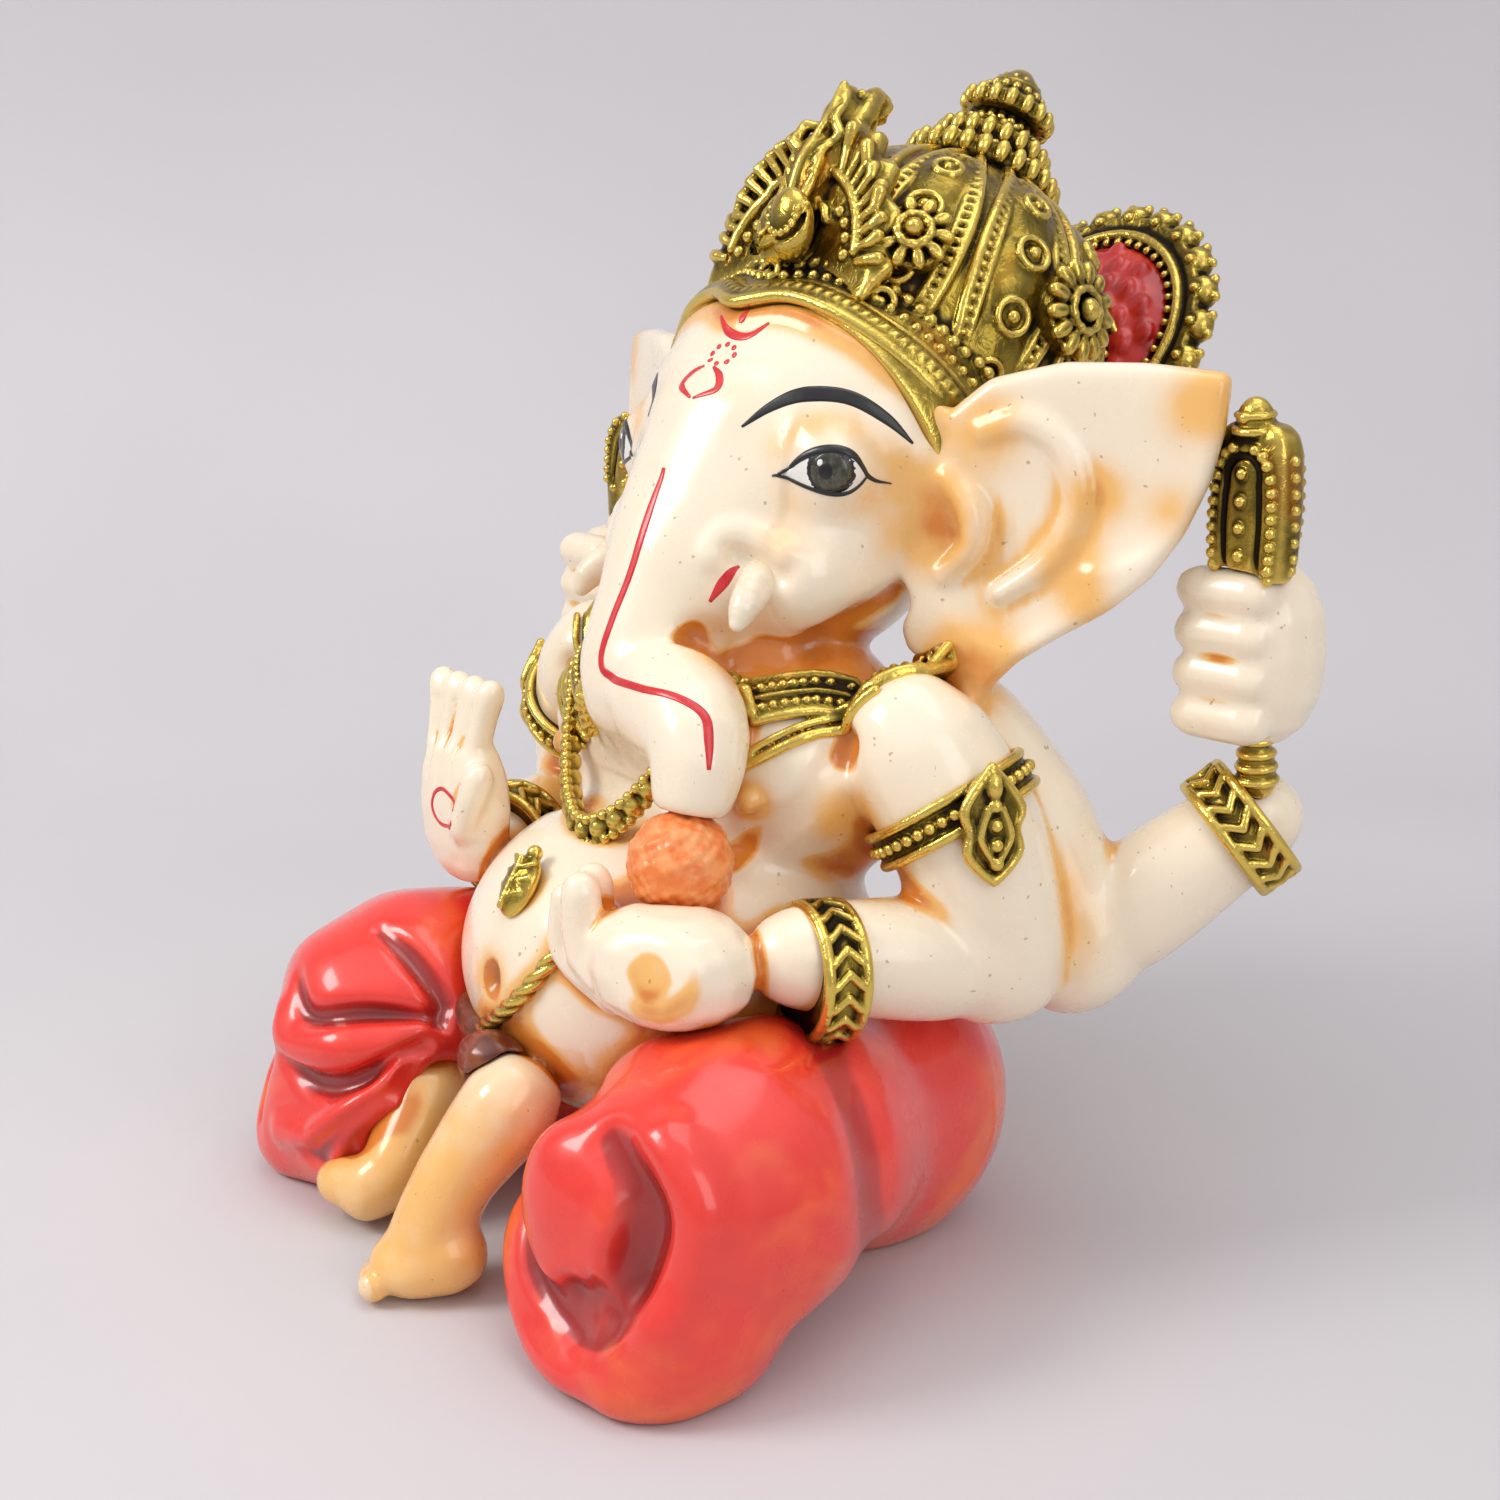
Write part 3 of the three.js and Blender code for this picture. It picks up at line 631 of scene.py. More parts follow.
def spots(points, places):
    """Soft round patches of paint: each place is (centre, reach, strength)."""
    total = np.zeros(len(points))
    for centre, reach, strength in places:
        away = ((points - np.asarray(centre, float)) ** 2).sum(1)
        total += strength * np.exp(-away / (2 * reach ** 2))
    return total


# ---------------------------------------------------------------- the body in cream enamel
belly_low, belly_high = node_box("torso_belly")
BELLY = ((belly_low + belly_high) / 2, (belly_high - belly_low) / 2)
CHEST = (vec(0, -2, 95), vec(46, 27, 30))
SKULL = (vec(0, 20, 155), vec(40, 35, 35))
JAW = (vec(0, 5, 134), vec(34, 27, 23))
DOME = (vec(0, 45, 175), vec(39, 38, 38))


def on_egg(body, lon, lat, lift=0.0):
    """A point on an egg: longitude 0 faces the front and grows towards the figure's left."""
    lon, lat = math.radians(lon), math.radians(lat)
    out = vec(math.sin(lon) * math.cos(lat), -math.cos(lon) * math.cos(lat), math.sin(lat))
    return body[0] + out * (body[1] + lift)


LIMBS = [f"{end}_{side}_{part}" for end in ("front", "rear") for side, _ in SIDES
         for part in ("upper_arm", "forearm", "hand")]
skin_parts = {}
skin = Clay((-101, -94, -1), (101, 72, 184), SKIN_VOXEL)


def part_of_skin(name, blend, parts=None, soften=2.4, grow=0.3, inner=0.0):
    if parts:
        win, f = skin.field(parts[0], 8)
        for more in parts[1:]:
            other_win, other = skin.field(more, 8)
            full = np.full(skin.f.shape, FAR, np.float32)
            full[win] = f
            joined = blend_union(full[other_win], other, inner)
            full[other_win] = joined
            low = [min(a.start, b.start) for a, b in zip(win, other_win)]
            high = [max(a.stop, b.stop) for a, b in zip(win, other_win)]
            win = tuple(slice(a, b) for a, b in zip(low, high))
            f = full[win]
    else:
        win, f = skin.node(name, soften, grow)
    skin_parts[name] = (win, f)
    skin.f[win] = blend_union(skin.f[win], f, blend)


part_of_skin("torso_chest", 0, [egg(*CHEST)] + [egg((s * 21, -16, 96), (20, 8.5, 13)) for _, s in SIDES],
             inner=9)
part_of_skin("torso_belly", 7.0, [egg(*BELLY)])
for limb_name in LIMBS:
    is_hand = limb_name.endswith("hand")
    part_of_skin(limb_name, 2.0 if is_hand else 4.0, soften=0.75 if is_hand else 2.6,
                 grow=0.05 if is_hand else 0.35)
part_of_skin("head", 3.0, [egg(*SKULL), egg(*JAW)], inner=9)
part_of_skin("trunk_upper", 11.0, soften=2.6, grow=0.35)
part_of_skin("trunk_lower", 2.5, soften=1.8, grow=0.25)
for side, s in SIDES:
    part_of_skin(f"{side}_ear", 3.5, soften=1.1, grow=0.1)
part_of_skin("left_foot", 1.5, soften=1.5, grow=0.2)
part_of_skin("right_foot", 1.5, soften=1.5, grow=0.2)

# which casting each point of the skin belongs to
closest = np.full(skin.f.shape, FAR, np.float32)
second = np.full(skin.f.shape, FAR, np.float32)
owner = np.full(skin.f.shape, -1, np.int8)
for index, (win, f) in enumerate(skin_parts.values()):
    first = closest[win]
    wins = f < first
    second[win] = np.where(wins, first, np.minimum(second[win], f))
    closest[win] = np.where(wins, f, first)
    owner[win] = np.where(wins, index, owner[win])

# breasts, navel and folds of the torso
for _, s in SIDES:
    skin.add(egg(snap(skin, (s * 30, -26, 93), 0.2)[0], (2.8, 2.4, 2.8)), 1.6)
    furrow(skin, [(s * 45, -18, 106), (s * 43, -22, 95), (s * 34, -28, 86), (s * 20, -32, 83)], 2.2,
           [0.4, 0.9, 1.0, 0.3], 3.5)
navel = snap(skin, on_egg(BELLY, -5, 5, 1))[0]
skin.cut(egg(navel + vec(0, -0.5, 0), (2.5, 3.2, 3.2)), 2.5)

# cheeks, mouth line, the dimple over the tusk, the eyeballs and the ridge of the hairline
for _, s in SIDES:
    skin.add(egg((s * 24, -7, 133), (9, 9, 9)), 6)
    furrow(skin, [(s * 17, -26, 124), (s * 25, -18, 119.5), (s * 31, -6, 121), (s * 35, 6, 127)], 2.2,
           [1.2, 2.0, 1.8, 0.6], 4)
    furrow(skin, [(s * 20, -22, 139), (s * 24, -19, 138), (s * 27, -16, 135)], 2.2, 1.3, 3)
    fold(skin, [(s * 17, -23, 138), (s * 21, -21, 142.5), (s * 27, -16, 139)], 2.0, 0.9, 3)
    skin.add(egg((s * 25.5, -4.6, 154), (9.5, 4.5, 6.5)), 8)
HAIRLINE = ((-100, 0), (-80, 26), (-58, 46), (-30, 57), (0, 53.5), (30, 57), (58, 46), (80, 26), (100, 0))
HAIR_FACING = vec(0, math.cos(math.radians(HAIRLINE_TILT)), math.sin(math.radians(HAIRLINE_TILT)))
hair_ridge = [on_egg(SKULL, lon, lat, 1.2) - HAIR_FACING * 5.2 for lon, lat in HAIRLINE]
fold(skin, hair_ridge, 2.6, 1.1, 1.5)


# ears: each dishes in from the front, with a rolled rim and an inner fold
def ear_frame(s):
    return vec(s * 39, 13, 145), vec(s * 0.9, 0.44, 0), vec(0, 0.12, 1), unit((s * 0.44, -0.9, 0))


def on_ear(s, out, height, depth=0.0):
    origin, along, up, face = ear_frame(s)
    return origin + along * out + up * (height - 145) + face * depth


for side, s in SIDES:
    _, along, up, face = ear_frame(s)
    axes = (unit(along), unit(up), face)
    skin.cut(egg(on_ear(s, 30, 154, 5.2), (17, 15, 3.9), axes), 3.5)
    skin.cut(egg(on_ear(s, 16, 142, 5.4), (14, 19, 4.4), axes), 3.5)
    ear_fold = [on_ear(s, o, h, d) for o, h, d in ((9, 161, 2.6), (17, 163, 2.2), (25, 158, 1.6),
                                                   (28, 148, 1.2), (24, 138, 1.0), (15, 131, 1.4))]
    skin.add(tube(ear_fold, [1.4, 2.0, 2.1, 2.0, 1.9, 1.2]), 3)
    ear_root = [on_ear(s, o, h, d) for o, h, d in ((3, 152, 2.6), (8, 147, 3.2), (9, 140, 3.0),
                                                   (4, 134, 2.4))]
    skin.add(tube(ear_root, [1.4, 2.6, 2.2, 1.2]), 3)

# the left palm cups towards the front, and a finger stands up at its end
palm_spot = snap(skin, (47, -64, 73))[0]
palm_way = unit(skin.slope(palm_spot[None])[0])
skin.cut(egg(palm_spot + palm_way * 3.1, (14.0, 11.0, 5.2),
             frame_about(palm_way)[1:] + frame_about(palm_way)[:1]), 4)
palm = on_egg(BELLY, 51, 21, 6.8)
raised_finger = [palm + vec(-8, -7, -7), palm + vec(-20, -9, -1), palm + vec(-20.5, -9, 9)]
skin.add(tube(raised_finger, [3.6, 3.4, 2.8]), 1.0)
# the raised hand's fingers are parted in front and behind
for shift in (-6, 0, 6):
    for y in (-6, 6):
        parting = [(-46 + 0.75 * shift, -42 + y, 86), (-46 + 0.8 * shift, -41 + y, 93),
                   (-46 + shift, -39 + y, 102)]
        furrow(skin, parting, 0.9, [0.3, 0.8, 0.8], 1.0)
# the ball and five toes of the foot in the middle, and the end of the other foot
ahead, aside = vec(-0.65, -0.75, 0), vec(0.75, -0.65, 0)
skin.add(egg((0.5, -84.5, 6.0), (9.0, 7.6, 5.6), (aside, ahead, (0, 0, 1))), 3)
for shift, size in ((-6.0, 1.9), (-3.4, 2.1), (-0.8, 2.2), (2.0, 2.4), (5.2, 3.0)):
    skin.add(egg(vec(-1.2, -87.2, 3.6) + ahead * (5.0 - 0.05 * shift ** 2) + aside * shift,
                 (size, size, size)), 0.8)
skin.add(tube([(-28, -77, 9), (-35, -80, 8), (-40, -79, 7)], [6, 5, 2.6]), 2)


def face_frame(s):
    """The place of an eye, and the direction along the face from the trunk to the ear."""
    return vec(s * 27.5, -3.5, 154.5), vec(s * 0.72, 0.69, 0)


def on_face(s, a, z, lift=EYE_LIFT):
    place, along = face_frame(s)
    return place + along * a + vec(0, 0, z) + vec(s * 0.69, -0.72, 0) * lift


# orange on the ears: out, height, reach and strength
EAR_PAINT = ((31, 150, 4.5, 0.5), (27, 138, 4.5, 0.55), (10, 161, 5, 0.5), (13, 118, 6, 0.6),
             (50, 168, 6, 0.5), (4, 143, 5, 0.7), (46, 148, 4, 0.35), (32, 130, 4, 0.4))


def skin_tint(points):
    places = [((30 * s, -25, 93), 2.6, 1.0) for _, s in SIDES]
    places += [(navel, 4.0, 0.6), (palm_spot, 4.6, -0.75)]
    places += [(palm_spot + vec(8 * math.cos(t), 3 * math.cos(t), 7.5 * math.sin(t)), 2.0, 0.5)
               for t in np.linspace(-1.9, 1.9, 13)]
    over_eye = ((-9, 3.5), (-5, 6.5), (0, 7.6), (5, 6.6), (10, 4), (13, 0))
    under_eye = ((-8, -5), (-3, -7), (3, -7.2), (8, -6))
    for _, s in SIDES:
        places += [(on_face(s, a, z, 1.0), 2.8, 0.22) for a, z in over_eye]
        places += [(on_face(s, a, z, 1.0), 2.6, 0.2) for a, z in under_eye]
        places += [((s * 41, 8, 150), 5, 0.35), ((s * 41, 6, 140), 5, 0.4), ((s * 12, -16, 168), 6, 0.12)]
        places += [((s * 26, -14, 141), 4, 0.2), ((s * 22, -22, 120), 6, 0.45), ((s * 32, 0, 122), 5, 0.4)]
        places += [(on_ear(s, out, height), reach, strength) for out, height, reach, strength in EAR_PAINT]
        places += [((s * 46, -15, 90), 5, 0.5), ((s * 50, -12, 80), 5, 0.45), ((s * 47, -10, 72), 5, 0.4),
                   ((s * 66, 18, 78), 5, 0.4), ((s * 68, 20, 66), 6, 0.4), ((s * 48, 8, 116), 6, 0.35)]
    places += [(spot, 2.4, 0.5) for spot in spline(hair_ridge, 4)]
    total = spots(points, places)
    x, y, z = points.T
    total += 0.22 * np.clip((44 - z) / 20, 0, 1) * (z < 44) * (y < -56)
    total -= 0.4 * np.clip((y - 8) / 12, 0, 1) * (np.abs(x) < 40) * (z < 118)
    for foot in ("left_foot", "right_foot"):
        low, high = node_box(foot)
        inside = ((points > low - 2) & (points < high + 2)).all(1)
        total[inside] += 0.16
    return total


for index, (name, (win, f)) in enumerate(skin_parts.items()):
    box_win = tuple(slice(max(0, w.start - 4), w.stop + 4) for w in win)
    others = np.where(owner[box_win] == index, second[box_win], closest[box_win])
    own = np.full(others.shape, FAR, np.float32)
    inner = tuple(slice(w.start - b.start, w.stop - b.start) for w, b in zip(win, box_win))
    own[inner] = f
    border = (own - others) / 2
    block = Clay((0, 0, 0), (1, 1, 1), skin.voxel)
    block.low = skin.low + skin.voxel * np.array([b.start for b in box_win])
    block.axes = [axis[b] for axis, b in zip(skin.axes, box_win)]
    block.f = np.maximum(skin.f[box_win] + SPLIT_DIVE * np.maximum(border, 0) ** 2, border - SPLIT_DEPTH)
    x, y, z = block.coords(tuple(slice(0, n) for n in block.f.shape))
    block.f = np.maximum(block.f, 0.05 - z)
    gain = 1.1 if name == "front_left_hand" else 2.1 if name.endswith(("hand", "foot")) else 1.5
    cast(name + "_skin", block, SKIN, [name], fine=1.7, gain=gain, touch=0.9,
         tint=skin_tint, shade=skin)

# ---------------------------------------------------------------- the wrapped cloth
CLOTH_NODES = ("dhoti_seat", "dhoti_left_leg", "dhoti_right_leg")
cloth = Clay.around(list(CLOTH_NODES), CLOTH_VOXEL)
for node_name in CLOTH_NODES:
    cloth.add_node(node_name, 9.0, 3.2, 0.4)
for _, s in SIDES:
    cloth.add(egg((s * 34, 3, 26), (25, 30, 30)), 7)
# right leg: creases that fan out from the knot, with soft folds between them
furrow(cloth, [(-24, -60, 45), (-34, -62, 53), (-45, -64, 58)], [1.6, 2.0, 1.0], [2.6, 2.4, 0.6], 3)
furrow(cloth, [(-22, -64, 42), (-34, -73, 43), (-47, -80, 40), (-56, -80, 46)], [1.6, 2.2, 2.2, 1.2],
       [2.8, 3.0, 2.4, 0.5], 3.5)
fold(cloth, [(-24, -68, 39), (-36, -80, 36), (-50, -86, 34), (-60, -82, 38)], 3.4, [1.4, 2.2, 2.0, 0.6], 4)
furrow(cloth, [(-22, -67, 37), (-32, -80, 30), (-43, -86, 27), (-54, -86, 28)], [1.6, 2.0, 2.0, 1.2],
       [2.6, 2.8, 2.2, 0.8], 3)
fold(cloth, [(-23, -72, 34), (-32, -84, 24), (-42, -88, 18), (-52, -86, 14)], 2.8, [1.2, 1.8, 1.8, 1.0], 3)
furrow(cloth, [(-22, -70, 33), (-28, -80, 24), (-35, -86, 15), (-40, -88, 5)], 1.8, [2.4, 2.6, 2.2, 1.4], 3)
furrow(cloth, [(-24, -76, 24), (-27, -82, 15), (-30, -85, 6)], 1.6, [1.6, 2.0, 1.6], 3)
furrow(cloth, [(-62, -80, 36), (-66, -79, 22), (-62, -82, 8)], 2.0, [0.8, 2.0, 1.8], 3)
furrow(cloth, [(-70, -72, 34), (-74, -68, 20), (-72, -70, 6)], 2.0, [0.8, 1.8, 1.8], 3)
# left leg: the cloth curls round a tongue of cloth in front of the knee
cloth.add(egg((42, -76, 31), (11, 8, 15)), 5)
furrow(cloth, [(24, -74, 38), (30, -82, 27), (38, -88, 18), (48, -88, 12), (58, -86, 14)],
       [1.6, 2.2, 2.6, 3.4, 4.5], [2.5, 3.5, 3.6, 3.6, 3.6], 3.5)
furrow(cloth, [(50, -88, 14), (59, -86, 18), (65, -83, 26), (66, -80, 35), (62, -78, 43), (54, -78, 48)],
       [4.0, 5.0, 6.0, 6.4, 5.6, 3.5], [3.6, 4.6, 5.6, 5.6, 4.0, 1.6], 3.5)
fold(cloth, [(67, -78, 20), (72, -74, 30), (71, -71, 40), (63, -71, 49)], 3.6, [0.8, 1.4, 1.4, 0.8], 5)
cloth.add(tube([(25, -68, 25), (30, -78, 14), (39, -82, 6), (50, -83.5, 4.5), (60, -82, 5)],
               [2.4, 3.2, 3.4, 3.4, 2.6]), 5)
for shift in (0, 1, 2):
    pleat = [(16 + 5 * shift, -48 - 2 * shift, 47), (20 + 5 * shift, -58 - 2 * shift, 46),
             (26 + 5 * shift, -68, 48)]
    furrow(cloth, pleat, 1.8, [1.8, 1.6, 0.4], 3)
for _, s in SIDES:
    furrow(cloth, [(s * 52, -24, 62), (s * 64, -32, 54), (s * 76, -34, 40), (s * 78, -32, 26),
                   (s * 70, -25, 12), (s * 60, -20, 3)],
           [6, 8, 8, 8, 7, 6], [0.0, 0.3, 0.7, 0.7, 0.5, 0.2], 5)
    cloth.add(tube([(s * 56, -68, 10), (s * 63, -76, 6.5)], [9, 6.5]), 8)
cloth.keep((0, 0, 0.05), (0, 0, 1))

cloth_parts = {}
for node_name in CLOTH_NODES:
    cloth_parts[node_name] = np.full(cloth.f.shape, FAR, np.float32)
    win, f = cloth.node(node_name, 2.0)
    cloth_parts[node_name][win] = f
for name, own in cloth_parts.items():
    others = np.min([f for other, f in cloth_parts.items() if other != name], 0)
    border = (own - others) / 2
    block = Clay.around([name], cloth.voxel)
    block.low, block.axes = cloth.low, cloth.axes
    block.f = np.maximum(cloth.f + SPLIT_DIVE * np.maximum(border, 0) ** 2, border - SPLIT_DEPTH)
    cast(name + "_cloth", block, CLOTH, [name], fine=2.2, gain=1.15, touch=0.8, shade=cloth)

# ---------------------------------------------------------------- gilded ornaments
UP = vec(0, math.sin(math.radians(CROWN_LEAN)), math.cos(math.radians(CROWN_LEAN)))
BACK = vec(0, math.cos(math.radians(CROWN_LEAN)), -math.sin(math.radians(CROWN_LEAN)))
ACROSS = vec(1, 0, 0)


def gild(name, clay, replaced=None, fine=0.8, gain=1.9, touch=0.55):
    return cast(name + "_gilt", clay, GOLD, [replaced or name], fine=fine, gain=gain,
                touch=touch)


def on_crown(angle, height, radius):
    return DOME[0] + UP * height + radius * (ACROSS * math.sin(angle) - BACK * math.cos(angle))


def on_dome(theta, phi, lift=0.0):
    theta, phi = math.radians(theta), math.radians(phi)
    d = UP * math.sin(phi) + math.cos(phi) * (ACROSS * math.sin(theta) - BACK * math.cos(theta))
    return DOME[0] + d * (1 / np.linalg.norm(d / DOME[1]) + lift)


def dome_frame(theta, phi):
    """Directions across, up along and out of the dome at one place."""
    out = unit(on_dome(theta, phi) - DOME[0])
    across = unit(np.cross(UP, out))
    return across, np.cross(out, across), out


def leaf_swell(phi):
    """How wide a leaf of the dome is at a latitude, as a share of its widest."""
    return 0.35 + 0.65 * np.sin(np.radians((phi + 40) / 112 * 180))


def sculpt_dome():
    clay = Clay.around(["crown_dome"], 0.6)
    clay.add(egg(*DOME)).add(egg(SKULL[0], SKULL[1] + 2), 1.5)
    rise = np.arange(-36, 70, 5.0)
    for k in range(DOME_LEAVES):
        turn = 360 / DOME_LEAVES * k
        swell = leaf_swell(rise)
        for phi in (-14, 12, 38):
            clay.add(egg(on_dome(turn, phi, -1.4), (6.2, 9.5, 3.0), dome_frame(turn, phi)), 1.5)
        for side in (-1, 1):
            for wide, thick in ((15.5, 1.15), (11.0, 0.75)):
                path = [on_dome(turn + side * wide * w, phi, 0.2) for phi, w in zip(rise, swell)]
                clay.add(rod(path, thick), 0.4)
        notches = np.arange(-34, 68, 3.4)
        for side in (-1, 1):
            row = [on_dome(turn + side * 13.2 * leaf_swell(phi), phi, 0.4) for phi in notches]
            clay.add(beads(row, 0.85), 0.25)
        for phi, size in ((-18, 2.6), (0, 3.4), (20, 3.4), (39, 2.7), (54, 1.9)):
            middle = snap(clay, on_dome(turn, phi, 0.3), 0.1)[0]
            _, u, v = frame_about(middle - DOME[0])
            clay.add(ring(middle, u, v, size, 0.75, 16), 0.3)
            clay.add(beads([middle], size * 0.42), 0.3)
    edge = HAIRLINE[:4] + ((0, 55),) + HAIRLINE[5:]
    for lift in (6.0, 10.5):
        row = [on_egg(SKULL, lon, lat, 2.2) + HAIR_FACING * lift for lon, lat in edge]
        row = snap(clay, spaced(row, 3.1), 0.2)
        clay.add(beads(row, 1.35 if lift > 8 else 1.0), 0.3)
    clay.keep(SKULL[0] - 7 * HAIR_FACING, HAIR_FACING)
    clay.keep(SKULL[0] + vec(0, 0, -7), (0, 0.1, 1))
    gild("crown_dome", clay)


def sculpt_band():
    clay = Clay.around(["crown_band"], 0.5)
    path = spaced([on_egg(SKULL, lon, lat, 1.2) for lon, lat in HAIRLINE], 2.2)
    clay.add(rod(path, 2.4))
    for lift, thick in ((-2.6, 1.3), (2.4, 1.25)):
        clay.add(rod(path + HAIR_FACING * lift + vec(0, 0, 0.6), thick), 0.5)
    for point, ahead in zip(path[:-1], path[1:]):
        middle = (point + ahead) / 2
        outward = unit((middle - SKULL[0]) - HAIR_FACING * np.dot(middle - SKULL[0], HAIR_FACING))
        clay.cut(tube([middle + outward * 2.6 - HAIR_FACING * 0.9,
                       middle + outward * 2.6 + HAIR_FACING * 0.9], 0.55), 0.3)
    gild("crown_band", clay)


def on_fan(x, y, z):
    return on_crown(x / FAN_TURN, y, PLATE_RADIUS - 0.008 * max(0, y - 5) ** 2 + z)


def fan_frame(x, y):
    """Directions across, up along and out of the fan at one place."""
    out = unit(on_fan(x, y, 1) - on_fan(x, y, 0))
    upward = unit(on_fan(x, y + 1, 0) - on_fan(x, y - 1, 0))
    return unit(np.cross(upward, out)), upward, out


def sculpt_fan():
    clay = Clay.around(["crown_fan"], 0.5, 5.0)
    clay.add_node("crown_fan", soften=0.5)

    def polar(angle, reach, z):
        return on_fan(FAN_HALF[0] * reach * math.sin(angle),
                      FAN_HALF[1] * reach * math.cos(angle) - FAN_DROP, z)
    for z in (7.0, -5.0):
        for a in np.linspace(-1.4, 1.4, 23):
            rib = snap(clay, [polar(a, r, z) for r in (0.68, 0.80, 0.93)], 0.4)
            clay.add(rod(rib, [0.9, 1.2, 1.4]), 0.35)
        for reach, thick in ((0.64, 1.2), (0.44, 1.1)):
            arc = [polar(a, reach, z) for a in np.linspace(-1.3, 1.3, 24)]
            clay.add(rod(snap(clay, arc, 0.4), thick), 0.4)
        clay.add(beads(snap(clay, [polar(a, 0.54, z) for a in np.linspace(-1.3, 1.3, 15)], 0.4), 1.3), 0.3)
        for y, size in ((2, 5.4), (14, 4.8), (24, 3.2)):
            clay.add(egg(on_fan(0, y, 0), (size, 8, 3.9), fan_frame(0, y)), 1.0)
        leaf = [(0, -9), (5.2, 0), (5.8, 10), (4.2, 20), (2.4, 29), (0, 35.5)]
        for s in (-1, 1):
            edge = spaced([on_fan(s * x, y, z) for x, y in leaf], 1.8)
            clay.add(rod(snap(clay, edge, 0.2), 1.15), 0.5)
            for y in range(-4, 28, 3):
                vein = [on_fan(s * 1.0, y + 0.8, z), on_fan(s * (4.6 - 0.1 * y), y + 3.6, z)]
                vein = snap(clay, vein, 0.1)
                clay.cut(rod(vein, 0.5), 0.3)
            middle = snap(clay, on_fan(s * 12, -4, z), 0.1)[0]
            out, u, v = frame_about(middle - DOME[0])
            clay.add(beads(ring_points(middle, u, v, 3.2, 9), 1.1), 0.3)
            clay.add(beads([middle + out * 0.6], 1.6), 0.3)
        clay.add(rod(snap(clay, [on_fan(0, y, z) for y in range(-6, 35, 3)], 0.2), 0.9), 0.5)
    gild("crown_fan", clay)


def sculpt_boss():
    clay = Clay.around(["crown_boss"], 0.4)
    middle = on_crown(0.1, 1, 45)
    out = unit(middle - DOME[0])
    upward = unit(np.cross(out, ACROSS))
    clay.add(egg(middle, (5.2, 3.8, 7.2)))
    clay.cut(ring(middle + out * 1.5, ACROSS, upward, 4.2, 0.6), 0.4)
    clay.add(beads(snap(clay, ring_points(middle + out * 3, ACROSS, upward, 3.9, 14), 0.1), 0.7), 0.2)
    gild("crown_boss", clay)


def sculpt_rosette(where, angle, height):
    name = f"rosette_{where}"
    size = 10.4 if where.startswith("side") else 8.0
    centre = on_crown(angle, height, 41)
    out, u, v = frame_about(centre - DOME[0])
    clay = Clay.around([name], 0.45)
    clay.add(turned(centre, out, [(0, -5), (size * 0.86, -5), (size * 0.86, 0.3), (0, 1.2)]))
    count = 13 if where.startswith("side") else 10
    for radial in spokes(count, u, v):
        side_way = np.cross(out, radial)
        petal = egg(centre + radial * size * 0.70 + out * 0.9, (size * 0.29, size * 0.165, 1.9),
                    (radial, side_way, out))
        clay.add(petal, 0.35)
        clay.cut(rod([centre + radial * size * 0.6 + out * 3.0, centre + radial * size * 0.95 + out * 2.4],
                      0.55), 0.4)
    clay.add(ring(centre + out * 2.2, u, v, size * 0.40, 0.95, 22), 0.3)
    clay.add(beads(ring_points(centre + out * 2.3, u, v, size * 0.40, 9), 1.1), 0.2)
    clay.add(egg(centre + out * 2.6, (size * 0.24, size * 0.24, 2.4), (u, v, out)), 0.3)
    gild(name, clay)


def sculpt_tier(name, height, profile, teeth, tooth_radius, tooth, bead_rows):
    centre = DOME[0] + UP * height
    _, u, v = frame_about(UP)
    clay = Clay.around([name], 0.45)
    clay.add(turned(centre, UP, profile))
    for radial in spokes(teeth, u, v):
        side_way = np.cross(UP, radial)
        clay.add(egg(centre + radial * tooth_radius + UP * tooth[3], tooth[:3], (radial, side_way, UP)),
                 0.3)
    for radius, level, size, count in bead_rows:
        clay.add(beads(ring_points(centre + UP * level, u, v, radius, count), size), 0.25)
    gild(name, clay)


